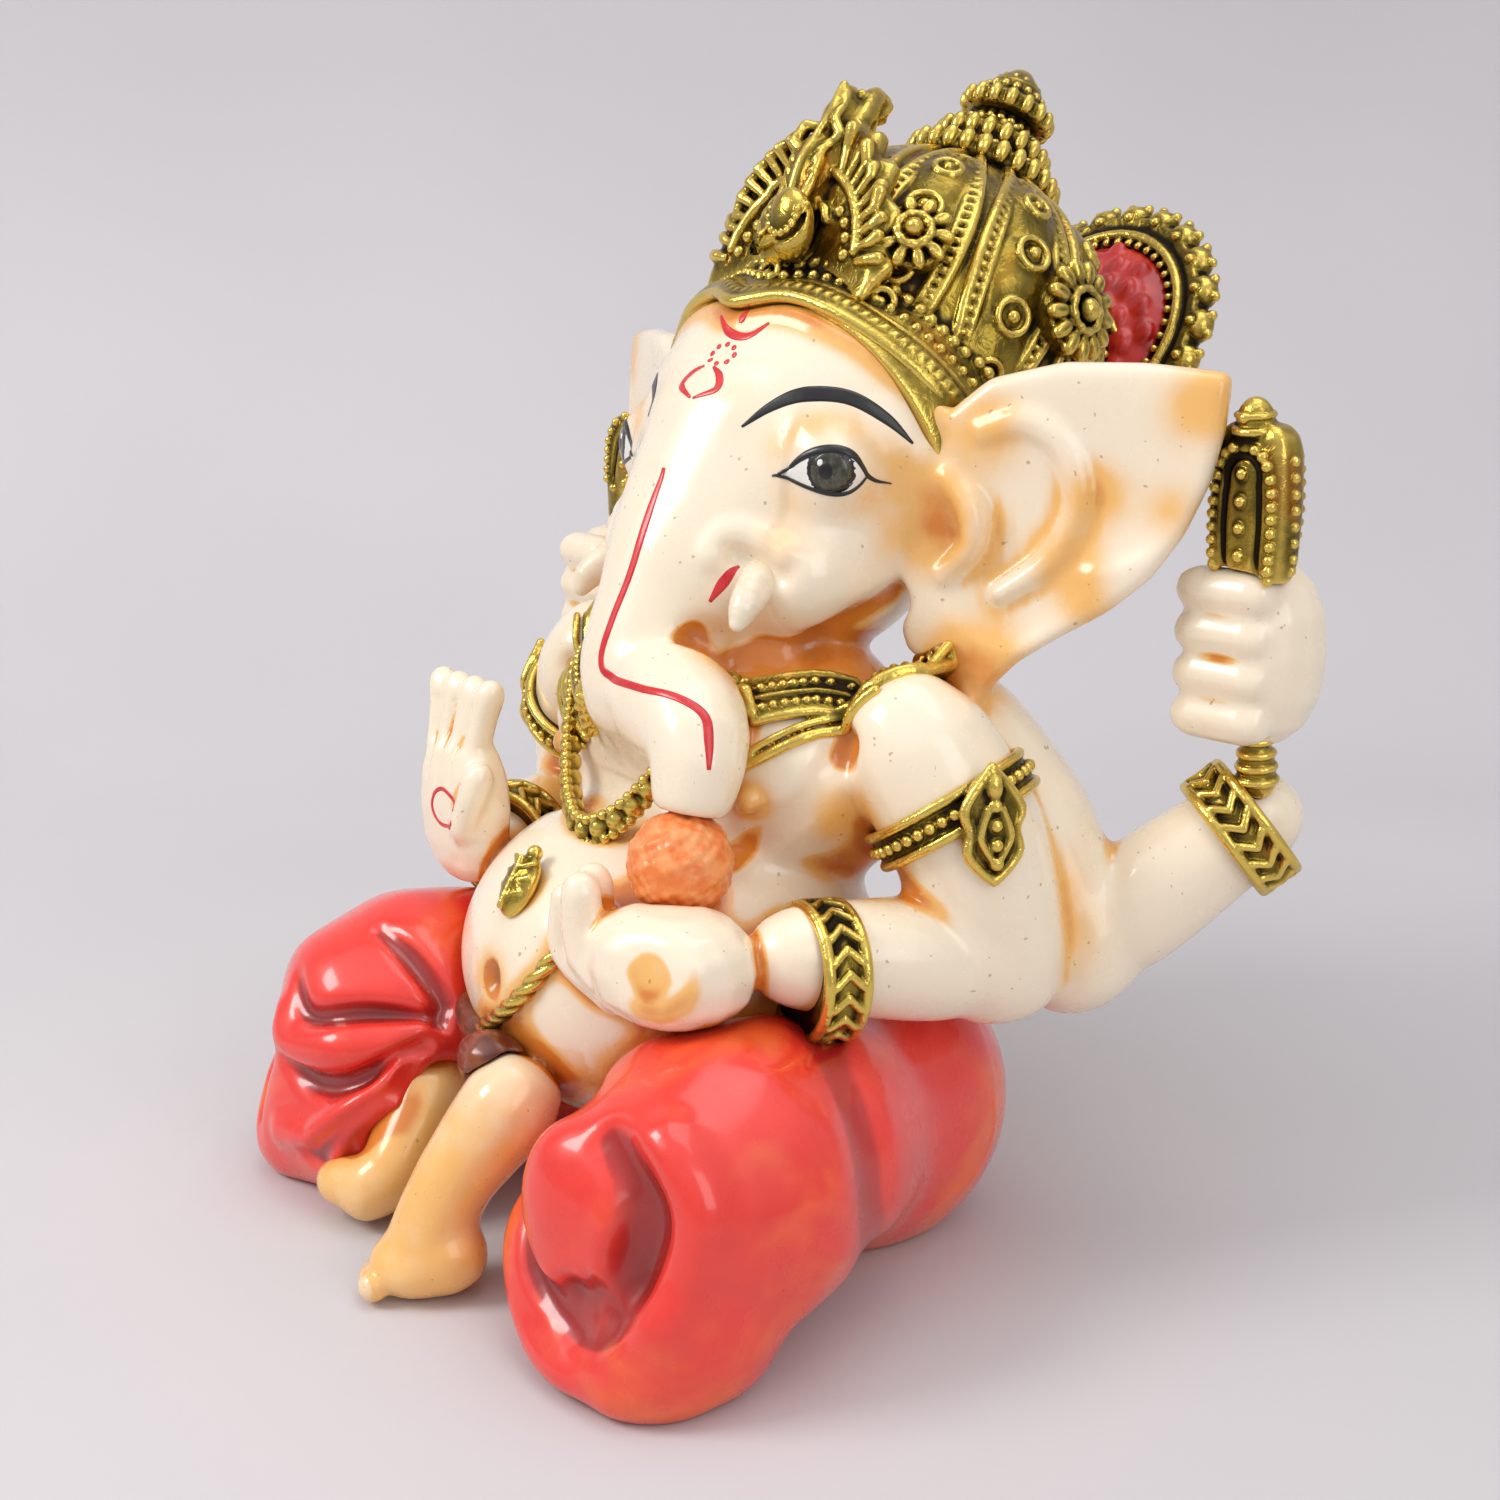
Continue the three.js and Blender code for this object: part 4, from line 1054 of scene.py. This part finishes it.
def sculpt_halo():
    middle = DOME[0] + BACK * 49 + UP * 26
    _, u, v = frame_about(BACK)
    rim = Clay.around(["halo_rim"], 0.55)
    rim.add(turned(middle, BACK, [(0, -2.2), (24.5, -2.2), (29, -2.8), (30.5, 0), (29, 2.8), (0, 2.8)]))
    for radial in spokes(22, u, v):
        side_way = np.cross(BACK, radial)
        rim.add(egg(middle + radial * 29.3, (3.5, 4.0, 3.3), (radial, side_way, BACK)), 0.4)
        for face in (-1, 1):
            rim.cut(egg(middle + radial * 28.8 + BACK * face * 3.9, (2.2, 2.3, 1.6),
                        (radial, side_way, BACK)), 0.4)
            rim.add(beads([middle + radial * 28.8 + BACK * face * 2.7], 1.2), 0.2)
    for face in (-1, 1):
        rim.add(ring(middle + BACK * face * 2.5, u, v, 24.6, 1.25, 48), 0.4)
        rim.add(beads(ring_points(middle + BACK * face * 3.0, u, v, 22.4, 44), 0.95), 0.2)
    rim.add(beads(ring_points(middle, u, v, 32.4, 44, 0.5), 1.2), 0.3)
    for radial in spokes(12, u, v):
        rim.add(rod([middle + BACK * 2.9 + radial * 5, middle + BACK * 3.1 + radial * 20], [1.0, 1.5]), 0.5)
    rim.add(egg(middle + BACK * 2.6, (5, 5, 2.2), (u, v, BACK)), 0.4)
    gild("halo_rim", rim)
    disc = Clay.around(["halo_disc"], 0.6)
    disc.add(turned(middle, BACK, [(0, -9), (10, -8), (18.5, -5), (21.4, -2.6), (21.4, -1.2), (0, -1.2)]))
    for k in range(HALO_DIMPLES):
        a, r = DIMPLE_TURN * k, 20 * math.sqrt((k + 0.5) / HALO_DIMPLES)
        spot = middle + r * (math.cos(a) * u + math.sin(a) * v) - BACK * (9.3 - 0.0135 * r * r)
        disc.add(egg(spot, (2.4, 2.0, 1.0), (u, v, BACK)), 1.4)
    cast("halo_disc_red", disc, HALO_RED, ["halo_disc"], fine=1.2, gain=1.2, touch=0.4)
    stem = Clay.around(["halo_stem"], 0.6)
    stem.add_node("halo_stem", soften=1.2)
    low = DOME[0] + BACK * 28
    for share in (0.35, 0.6, 0.85):
        spot = low + (middle - low) * share
        axis, su, sv = frame_about(middle - low)
        stem.add(ring(spot, su, sv, 16 - 3 * share, 1.2, 40), 0.6)
        stem.add(beads(ring_points(spot + axis * 2.4, su, sv, 16 - 3.2 * share, 30), 1.0), 0.3)
    gild("halo_stem", stem)


ARM_LINES = {"front_left": ((63, 9, 63), (51, -30, 66)), "front_right": ((-63, 6, 68), (-50, -28, 66)),
             "rear_left": ((65, 27, 61), (87, 54, 88)), "rear_right": ((-64, 22, 64), (-79, 20, 84))}


def sculpt_bangle(arm):
    name = f"{arm}_bangle"
    elbow, wrist = (vec(*p) for p in ARM_LINES[arm])
    centre = elbow + (wrist - elbow) * BANGLE_SHARE
    axis, u, v = frame_about(wrist - elbow)
    clay = Clay.around([name], 0.45)
    clay.add(turned(centre, axis, [(0, -3.8), (12.0, -3.8), (12.6, 0), (12.0, 3.8), (0, 3.8)]))
    for edge in (-3.7, 3.7):
        clay.add(ring(centre + axis * edge, u, v, 12.3, 1.15, 40), 0.4)
    for k in range(BANGLE_CHEVRONS):
        a = 2 * math.pi * k / BANGLE_CHEVRONS
        path = [centre + axis * h + 12.7 * (math.cos(a + t) * u + math.sin(a + t) * v)
                for h, t in ((-2.6, -0.10), (0, 0.09), (2.6, -0.10))]
        clay.add(rod(path, 0.85), 0.3)
    gild(name, clay)


def sculpt_armlet(side, s):
    name = f"{side}_armlet"
    shoulder, middle = vec(s * 49, -1, 104), vec(s * 59, 4, 87 if s > 0 else 88)
    centre = shoulder + (middle - shoulder) * ARMLET_SHARE
    axis, u, v = frame_about(middle - shoulder)
    clay = Clay.around([name], 0.45)
    clay.add(turned(centre, axis, [(0, -3.0), (16.0, -3.0), (16.4, 0), (16.0, 3.0), (0, 3.0)]))
    for edge in (-3.0, 3.0):
        clay.add(ring(centre + axis * edge, u, v, 16.2, 1.0, 48), 0.4)
    clay.add(beads(ring_points(centre, u, v, 16.7, 40), 1.15), 0.25)
    plaque = centre + vec(s * 0.94, -0.34, 0.1) * 16.2
    out = unit((s * 0.94, -0.34, 0.1))
    along = unit(vec(0, 0, 1) - out * out[2])
    way = np.cross(along, out)

    def leaf(x, y, z):
        return plaque + way * x + along * y + out * z
    clay.add(egg(plaque, (6.0, 10.0, 2.2), (way, along, out)), 0.4)
    outline = [(0, 10.4), (3.4, 6.5), (5.8, 2.5), (4.4, -1), (5.2, -5), (2.4, -8.6), (0, -10.4)]
    for m in (-1, 1):
        clay.add(rod(spaced([leaf(m * x, y, 0.9) for x, y in outline], 1.6), 1.0), 0.35)
        clay.add(tube([leaf(m * 1.0, -6, 1.8), leaf(m * 3.0, -2, 1.9), leaf(m * 1.4, 3, 2.0)], 0.8), 0.3)
    clay.add(beads([leaf(0, y, 2.0) for y in (-7, -3.6, 0, 3.6)], 1.35), 0.3)
    clay.add(egg(leaf(0, 7, 1.4), (1.7, 2.8, 1.8), (way, along, out)), 0.3)
    gild(name, clay)


def laid_band(clay, line, rows, gap=1.9):
    """Rows laid side by side on the skin along a line: each is (offset across, lift, size, beaded)."""
    path = snap(skin, spaced(line, gap))
    tangent = np.gradient(path, axis=0)
    side_way = np.cross(skin.slope(path), tangent)
    side_way /= np.linalg.norm(side_way, axis=1)[:, None]
    for offset, lift, size, beaded in rows:
        row = snap(skin, path + side_way * offset, lift)
        clay.add(beads(row, size) if beaded else rod(row, size), 0.3)


def sculpt_collar(side, s):
    clay = Clay.around([f"collar_{side}"], 0.45, 9.0)
    upper = [(s * x, y, z) for x, y, z in ((10, -33, 104), (18, -27, 107), (34, -15, 114), (43, -3, 119),
                                           (45, 6, 121))]
    laid_band(clay, upper, [(w, 0.5, 1.5, False) for w in (-3.4, -1.7, 0, 1.7, 3.4)])
    laid_band(clay, upper, [(-4.2, 1.2, 1.0, False), (0, 1.9, 0.6, False), (4.2, 1.2, 1.0, False),
                            (-2.1, 1.9, 0.95, True), (2.1, 1.9, 0.95, True)], 2.1)
    lower = [(s * x, y, z) for x, y, z in ((18, -30, 96), (30, -23, 101.5), (39, -15, 108), (47, -8, 114))]
    laid_band(clay, lower, [(-1.1, 0.5, 1.1, False), (1.1, 0.9, 0.8, False)])
    gild(f"collar_{side}", clay)


def sculpt_necklace():
    clay = Clay.around(["bead_necklace"], 0.4)
    line = [(-30, -22, 107), (-20, -31, 95), (-10, -38, 87), (0, -42, 84), (9, -40, 88), (15, -34, 97)]
    clay.add_node("bead_necklace", soften=0.5, grow=-1.2)
    clay.add(beads(spaced(line, 4.4), 2.35), 0.3)
    for dx, dz in ((0, 2.2), (0.6, -2.3)):
        clay.add(beads(spaced([(x + dx, y - 0.9, z + dz) for x, y, z in line], 2.3), 1.15), 0.25)
    gild("bead_necklace", clay)


def sculpt_pendant():
    clay = Clay.around(["pendant"], 0.35)
    centre = on_egg(BELLY, -4, 36, 1.2)
    out, u, v = frame_about(centre - BELLY[0])
    up = unit(vec(0, 0, 1) - out * out[2])
    way = np.cross(up, out)
    clay.add(egg(centre, (4.6, 6.6, 2.6), (way, up, out)))
    clay.add(tube([centre + up * y + out * 2.3 for y in (-5, 0, 5)], 0.7), 0.3)
    for y in (-3, 0, 3):
        for m in (-1, 1):
            clay.add(rod([centre + up * y + out * 2.3, centre + way * m * 3.4 + up * (y + 2) + out * 1.4],
                         0.55), 0.3)
    clay.add(beads([centre + up * 6.8], 1.6), 0.3)
    gild("pendant", clay)


def sculpt_thread():
    clay = Clay.around(["sacred_thread"], 0.4)
    line = [on_egg(BELLY, lon, lat, 0.6) for lon, lat in ((24, 32), (15, 13), (4, -2), (-14, -17))]
    path = spaced(line, 0.9)
    tangent = unit(path[-1] - path[0])
    out = unit(vec(0.1, -1, 0) - tangent * (vec(0.1, -1, 0) @ tangent))
    side_way = np.cross(tangent, out)
    for strand in range(3):
        turn = np.arange(len(path)) * 0.42 + strand * 2 * math.pi / 3
        clay.add(rod(path + 0.95 * (np.cos(turn)[:, None] * out + np.sin(turn)[:, None] * side_way), 0.95),
                 0.2)
    gild("sacred_thread", clay)


def sculpt_goad(side, s):
    fist = vec(88, 51, 121) if s > 0 else vec(-79, 24, 111)
    grip = fist + vec(s * 2, -4, 0)
    lean = vec(0, -0.1, 1) if s > 0 else vec(0.15, 0.35, 1)
    axis = unit(lean)
    wide_way = unit(ACROSS - axis * axis[0])
    deep = np.cross(axis, wide_way)
    middle = grip + lean * 28
    head = Clay.around([f"{side}_goad_head"], 0.4)
    head.add_node(f"{side}_goad_head", soften=0.6, grow=-0.35)
    for face in (-1, 1):
        arch = [(-6.4, -13), (-7.0, -4), (-6.6, 6), (-4.2, 12), (0, 14), (4.2, 12), (6.6, 6), (7.0, -4),
                (6.4, -13)]
        row = spaced([middle + axis * y + wide_way * x + deep * face * 7 for x, y in arch], 2.4)
        head.add(beads(snap(head, row, 0.1), 1.05), 0.25)
        groove = [(-3.6, -11), (-3.8, 0), (-2.6, 8), (0, 10.4), (2.6, 8), (3.8, 0), (3.6, -11)]
        row = spaced([middle + axis * y + wide_way * x + deep * face * 7 for x, y in groove], 1.6)
        head.cut(rod(snap(head, row, 0.0), 0.7), 0.5)
        for y in (-8, -3, 2, 7):
            head.add(beads(snap(head, middle + axis * y + deep * face * 7, 0.1), 1.15), 0.3)
    for edge in (-1, 1):
        row = [middle + axis * y + wide_way * edge * 11 for y in np.arange(-12, 12, 3)]
        head.add(beads(snap(head, row, 0.0), 1.0), 0.3)
    knob = grip + lean * 43.5
    head.add(ring(knob - axis * 1.5, wide_way, deep, 3.6, 0.8, 20), 0.3)
    head.add(ring(knob + axis * 1.2, wide_way, deep, 3.3, 0.6, 20), 0.3)
    gild(f"{side}_goad_head", head)
    shaft = Clay.around([f"{side}_goad_handle"], 0.4)
    shaft.add_node(f"{side}_goad_handle", soften=0.5)
    tip = grip + lean * -25
    for k in range(4):
        shaft.add(ring(tip + lean * (1 + 2.6 * k), wide_way, deep, 3.7 - 0.25 * k, 0.7, 20), 0.3)
    shaft.add(beads([tip - axis * 2.6], 2.0), 0.6)
    gild(f"{side}_goad_handle", shaft)


sculpt_dome()
sculpt_band()
sculpt_fan()
sculpt_boss()
for where, angle, height in (("front_left", 0.66, 6), ("front_right", -0.66, 6), ("side_left", 1.58, 8),
                             ("side_right", -1.58, 8)):
    sculpt_rosette(where, angle, height)
sculpt_tier("crown_tier_lower", 39, [(0, -6), (14, -6), (16, -2.4), (16, 0), (14, 1), (0, 1)],
            26, 16.0, (1.5, 1.5, 2.6, -0.8), [(13.2, 1.2, 1.1, 30), (14.2, -4.8, 1.1, 34)])
sculpt_tier("crown_tier_upper", 44, [(0, -3.6), (10.8, -3.6), (11.8, 0), (11.8, 1.2), (9, 3), (0, 3)],
            20, 11.8, (1.3, 1.4, 2.4, 0.0), [(9.2, 2.9, 1.0, 22)])
sculpt_tier("crown_finial", 52.6, [(0, -5.6), (5.6, -5.6), (5.8, -3), (9, -1.4), (9.4, 1.4), (6.6, 3.2),
                                   (5.6, 6), (2, 9.8), (0, 10.3)],
            16, 9.2, (1.4, 1.3, 2.2, 0.2), [(6.4, -3.6, 1.0, 18), (6.3, 4.0, 1.0, 16), (4.4, 6.9, 0.7, 12)])
sculpt_halo()
for arm_name in ARM_LINES:
    sculpt_bangle(arm_name)
for side, s in SIDES:
    sculpt_armlet(side, s)
    sculpt_collar(side, s)
    sculpt_goad(side, s)
sculpt_necklace()
sculpt_pendant()
sculpt_thread()

# ---------------------------------------------------------------- sash, tusks and the sweet
sash = Clay.around(["waist_knot"], 0.45)
sash.add_node("waist_knot", soften=0.8)
knot_front = at("waist_knot", 0.5, -0.1, 0.5)
for shift in (-5, -1.6, 1.6, 5):
    crease = [knot_front + vec(shift, -1, 8), knot_front + vec(shift * 0.4, -2, 0),
              knot_front + vec(shift, -1, -8)]
    sash.cut(tube(crease, 1.0), 1.2)
cast("waist_knot_sash", sash, SASH, ["waist_knot"], fine=1.0)
belt = Clay.around(["waist_belt"], 0.45)
belt.add_node("waist_belt", soften=0.6)
belt_line = spaced([on_egg(BELLY, lon, -19, 0.5) for lon in (-48, -36, -24, -12, 0)], 1.5)
for lift in (-1.3, 1.3):
    belt.add(rod(belt_line + vec(0, -0.8, lift), 1.6), 0.4)
cast("waist_belt_sash", belt, SASH, ["waist_belt"], fine=1.0)
for side, s in SIDES:
    tusk = Clay.around([f"{side}_tusk"], 0.35)
    tusk.add(tube([(s * 17, -10, 135), (s * 21.5, -16, 133), (s * 24.5, -21.5, 129.5),
                   (s * 25, -24, 126.3)], [3.4, 3.8, 3.2, 1.7]))
    cast(f"{side}_tusk_enamel", tusk, IVORY, [f"{side}_tusk"], fine=1.2)
sweet = Clay.around(["sweet"], 0.45)
sweet_low, sweet_high = node_box("sweet")
sweet_centre = (sweet_low + sweet_high) / 2
sweet.add(egg(sweet_centre, vec(9.6, 9.6, 9.6)))
for k in range(SWEET_GRAINS):
    height = 1 - 2 * (k + 0.5) / SWEET_GRAINS
    a = GOLDEN_ANGLE * k
    out = vec(math.cos(a) * math.sqrt(1 - height ** 2), math.sin(a) * math.sqrt(1 - height ** 2), height)
    sweet.add(beads([sweet_centre + out * 9.1], 0.9 + 0.25 * math.sin(7.3 * k)), 0.9)
cast("sweet_laddu", sweet, SWEET, ["sweet"], fine=1.0, gain=1.0, touch=0.6)


# ---------------------------------------------------------------- brush strokes
def solid_rows(name, rows, material):
    """A closed thin solid from rows of points: each row is one closed loop of the same length."""
    rows = np.array(rows)
    count, width = rows.shape[:2]
    points = rows.reshape(-1, 3)
    faces = [(i * width + j, i * width + (j + 1) % width, (i + 1) * width + (j + 1) % width,
              (i + 1) * width + j)
             for i in range(count - 1) for j in range(width)]
    mesh = bpy.data.meshes.new(name)
    ends = [tuple(range(width))[::-1], tuple((count - 1) * width + j for j in range(width))]
    mesh.from_pydata([tuple(p) for p in points * MM], [], faces + ends)
    mesh.polygons.foreach_set("use_smooth", [True] * len(mesh.polygons))
    mesh.attributes.new("hollow", "FLOAT", "POINT")
    mesh.materials.append(material)
    mesh.update()
    piece = bpy.data.objects.new(name, mesh)
    bpy.context.scene.collection.objects.link(piece)
    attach(piece, "root")
    return piece


def stroke(name, line, half_widths, material, lift=0.16, steps=7):
    """A stroke of thick paint along the skin, as wide as the brush was pressed."""
    widths = np.broadcast_to(np.asarray(half_widths, float), (len(line),))
    line = np.column_stack([np.asarray(line, float), widths])
    path = spline(line, steps) if len(line) > 2 else line
    middle = snap(skin, path[:, :3])
    normal = skin.slope(middle)
    tangent = np.gradient(middle, axis=0)
    side_way = np.cross(normal, tangent)
    side_way /= np.linalg.norm(side_way, axis=1)[:, None]
    rows = []
    for centre, way, half in zip(middle, side_way, path[:, 3]):
        across = np.linspace(-1, 1, 7)
        top = snap(skin, centre + np.outer(across * half, way), 0)
        n = skin.slope(top)
        top = top + n * (0.02 + lift * np.sqrt(1 - 0.98 * across ** 2))[:, None]
        bottom = top[[6, 0]] - n[[6, 0]] * 0.5
        rows.append(np.vstack([top, bottom]))
    return solid_rows(name, rows, material)


def patch(name, outline, material, slot="skin_cream", lift=0.12, rings=7):
    """A filled area of paint inside an outline of points on the skin."""
    outline = np.asarray(outline, float)
    centre = outline.mean(0)
    rows = []
    for share in np.linspace(0.02, 1, rings):
        loop = snap(skin, centre + (outline - centre) * share)
        rows.append(loop + skin.slope(loop) * (lift * (1 - 0.5 * share ** 6)))
    rim = rows[-1]
    rows.append(rim - skin.slope(rim) * 0.5)
    return solid_rows(name, rows[::-1], material)


BROW = ((14, -13.5, 161), (18, -10, 165), (23, -6.5, 167.6), (29, -0.5, 167), (34, 4.5, 163.2),
        (37.5, 8.5, 158.5))
EYE_UPPER = ((-9.6, -1.6), (-7.0, 0.9), (-3.5, 2.7), (0.5, 3.2), (4.6, 2.2), (8.0, -0.2), (9.6, -1.8))
EYE_LOWER = ((9.6, -1.8), (7.0, -3.3), (3.5, -4.1), (0, -4.2), (-3.6, -3.7), (-7.0, -2.7), (-9.6, -1.6))
for side, s in SIDES:
    lens = spaced([on_face(s, a, z) for a, z in EYE_UPPER], 1.2)[:-1]
    lens = np.vstack([lens, spaced([on_face(s, a, z) for a, z in EYE_LOWER], 1.2)[:-1]])
    patch(f"{side}_eye_white", lens, EYE_WHITE, lift=0.10)
    for part, reach, material, lift, where in (("iris_ring", 4.3, INK_BLACK, 0.16, (0.2, -0.1)),
                                               ("iris", 3.3, IRIS, 0.22, (0.2, -0.45)),
                                               ("pupil", 1.5, INK_BLACK, 0.28, (0.2, -0.45)),
                                               ("glint", 0.6, EYE_WHITE, 0.34, (-0.9, 0.9))):
        disc = [on_face(s, where[0] + reach * math.cos(t), where[1] + reach * math.sin(t))
                for t in np.linspace(0, 2 * math.pi, 25)[:-1]]
        patch(f"{side}_eye_{part}", disc, material, lift=lift)
    stroke(f"{side}_upper_lid", [on_face(s, a, z) for a, z in EYE_UPPER + ((12.4, -3.4), (15.0, -3.9))],
           [0.25, 0.55, 0.85, 0.95, 0.85, 0.6, 0.5, 0.35, 0.12], INK_BLACK, lift=0.36)
    stroke(f"{side}_lower_lid", [on_face(s, a, z) for a, z in EYE_LOWER + ((-11.2, -1.6),)],
           [0.3, 0.4, 0.5, 0.5, 0.4, 0.35, 0.3, 0.1], INK_BLACK, lift=0.36)
    stroke(f"{side}_brow", [(s * x, y, z) for x, y, z in BROW], [0.25, 1.0, 1.5, 1.45, 1.1, 0.25],
           INK_BLACK)
    stroke(f"{side}_tusk_mark", [(s * 19.5, -19, 136.5), (s * 17.5, -21, 133), (s * 15.5, -23, 129)],
           [0.3, 1.1, 0.35], INK_RED)
TRUNK_LINE = ((2, -23, 153), (3, -28, 144), (3, -32, 134), (2, -36, 125), (2, -40, 117.5), (6, -41, 115.5),
              (17, -41, 115), (27, -39, 114), (32.5, -38, 112), (35, -39, 108), (36, -40, 103))
stroke("trunk_line", TRUNK_LINE, [0.5, 0.9, 0.8, 0.8, 0.8, 0.8, 0.75, 0.8, 0.9, 0.9, 0.4], INK_RED)


def brow_mark(name, points, half):
    stroke(name, [on_egg(SKULL, lon, lat, 1) for lon, lat in points], half, INK_RED)


palm_ring = [vec(-43, -52, 80) + vec(4.2 * math.cos(t), 0, 4.2 * math.sin(t))
             for t in np.linspace(0.3, 2 * math.pi - 0.3, 9)]
stroke("right_palm_ring", palm_ring, 0.45, INK_RED)
# a crescent, a ring of dots and a small bud, painted on the forehead
brow_mark("forehead_crescent", ((-6, 46), (2, 41), (12, 40), (20, 45)), [0.3, 0.9, 0.9, 0.3])
brow_mark("forehead_drop", ((7, 50), (7.2, 46), (7, 44)), [0.3, 0.8, 0.4])
for k in range(FOREHEAD_DOTS):
    turn = 2 * math.pi * k / FOREHEAD_DOTS
    middle = on_egg(SKULL, 5 + 5.2 * math.cos(turn), 33 + 3.6 * math.sin(turn), 1)
    dot = [middle + vec(0.62 * math.cos(t), 0.2 * math.sin(t), 0.62 * math.sin(t))
           for t in np.linspace(0, 2 * math.pi, 13)[:-1]]
    patch(f"forehead_dot_{k + 1}", dot, INK_RED, lift=0.16, rings=4)
brow_mark("forehead_bud_left", ((3, 16), (9.5, 20), (8.5, 25), (4.5, 28)), [0.3, 0.8, 0.8, 0.3])
brow_mark("forehead_bud_right", ((2, 16), (-4.5, 20), (-3.5, 25), (0.5, 28)), [0.3, 0.8, 0.8, 0.3])

# ---------------------------------------------------------------- floor, light and camera
floor_mesh = bpy.data.meshes.new("studio_floor")
FLOOR = 2.2                      # m: how far the paper reaches to each side, and up behind
FLOOR_BEND = 0.30
bend = [(FLOOR_BEND + FLOOR_BEND * math.sin(a), FLOOR_BEND - FLOOR_BEND * math.cos(a))
        for a in np.linspace(0, math.pi / 2, 14)]
steps = [(-FLOOR, 0.0)] + bend + [(2 * FLOOR_BEND, FLOOR)]
away = unit((-math.sin(math.radians(CAMERA_TURN)), math.cos(math.radians(CAMERA_TURN)), 0))
across = vec(away[1], -away[0], 0)
corners = [tuple(away * d + across * w * FLOOR + vec(0, 0, h - 0.0002)) for d, h in steps for w in (-1, 1)]
floor_mesh.from_pydata(corners, [],
                       [(2 * i, 2 * i + 1, 2 * i + 3, 2 * i + 2) for i in range(len(steps) - 1)])
floor_mesh.polygons.foreach_set("use_smooth", [True] * len(floor_mesh.polygons))
floor = bpy.data.objects.new("studio_floor", floor_mesh)
bpy.context.scene.collection.objects.link(floor)
paper = Nodes("studio_paper")
floor_mesh.materials.append(paper.finish(
    paper.mix(paper.ramp(paper.noise(3.0, 2.0), 0.3, 0.7), (0.575, 0.555, 0.565), (0.615, 0.59, 0.60)),
    0.8, paper.bump((paper.noise(700.0, 2.0), 0.15, 0.2))))

world = bpy.data.worlds.new("studio")
bpy.context.scene.world = world
world.use_nodes = True
sky = world.node_tree
direction = sky.nodes.new("ShaderNodeTexCoord").outputs["Generated"]
parts = sky.nodes.new("ShaderNodeSeparateXYZ")
sky.links.new(direction, parts.inputs[0])
height_ramp = sky.nodes.new("ShaderNodeMapRange")
height_ramp.inputs["From Min"].default_value, height_ramp.inputs["From Max"].default_value = -0.1, 0.9
height_ramp.inputs["To Min"].default_value, height_ramp.inputs["To Max"].default_value = 0.38, 1.0
sky.links.new(parts.outputs["Z"], height_ramp.inputs["Value"])
sky.links.new(height_ramp.outputs["Result"], sky.nodes["Background"].inputs["Strength"])
sky.nodes["Background"].inputs[0].default_value = (0.90, 0.91, 0.95, 1)


def area_light(name, position, target, size, power, color=(1, 1, 1)):
    data = bpy.data.lights.new(name, "AREA")
    data.shape, data.size, data.size_y = "RECTANGLE", size[0], size[1]
    data.energy, data.color = power, color
    lamp = bpy.data.objects.new(name, data)
    lamp.location = position
    lamp.rotation_euler = (Vector(target) - Vector(position)).to_track_quat("-Z", "Y").to_euler()
    bpy.context.scene.collection.objects.link(lamp)


area_light("key_window", (-0.35, -0.75, 0.75), (0, 0, 0.1), (0.40, 0.40), 5.2, (1.0, 0.985, 0.96))
area_light("side_fill", (0.95, -0.15, 0.55), (0, 0, 0.1), (0.5, 0.7), 2.0, (1.0, 0.97, 0.95))
area_light("top_soft", (0.1, 0.1, 1.1), (0, 0, 0.1), (0.7, 0.7), 2.2)

camera_data = bpy.data.cameras.new("camera")
camera_data.lens, camera_data.sensor_width, camera_data.clip_start = CAMERA_LENS, 36.0, 0.01
camera = bpy.data.objects.new("camera", camera_data)
camera.location = CAMERA_PLACE
camera.rotation_euler = (math.radians(90 - CAMERA_DOWN), 0, math.radians(CAMERA_TURN))
bpy.context.scene.collection.objects.link(camera)
bpy.context.scene.camera = camera
bpy.context.scene.view_settings.view_transform = "Standard"
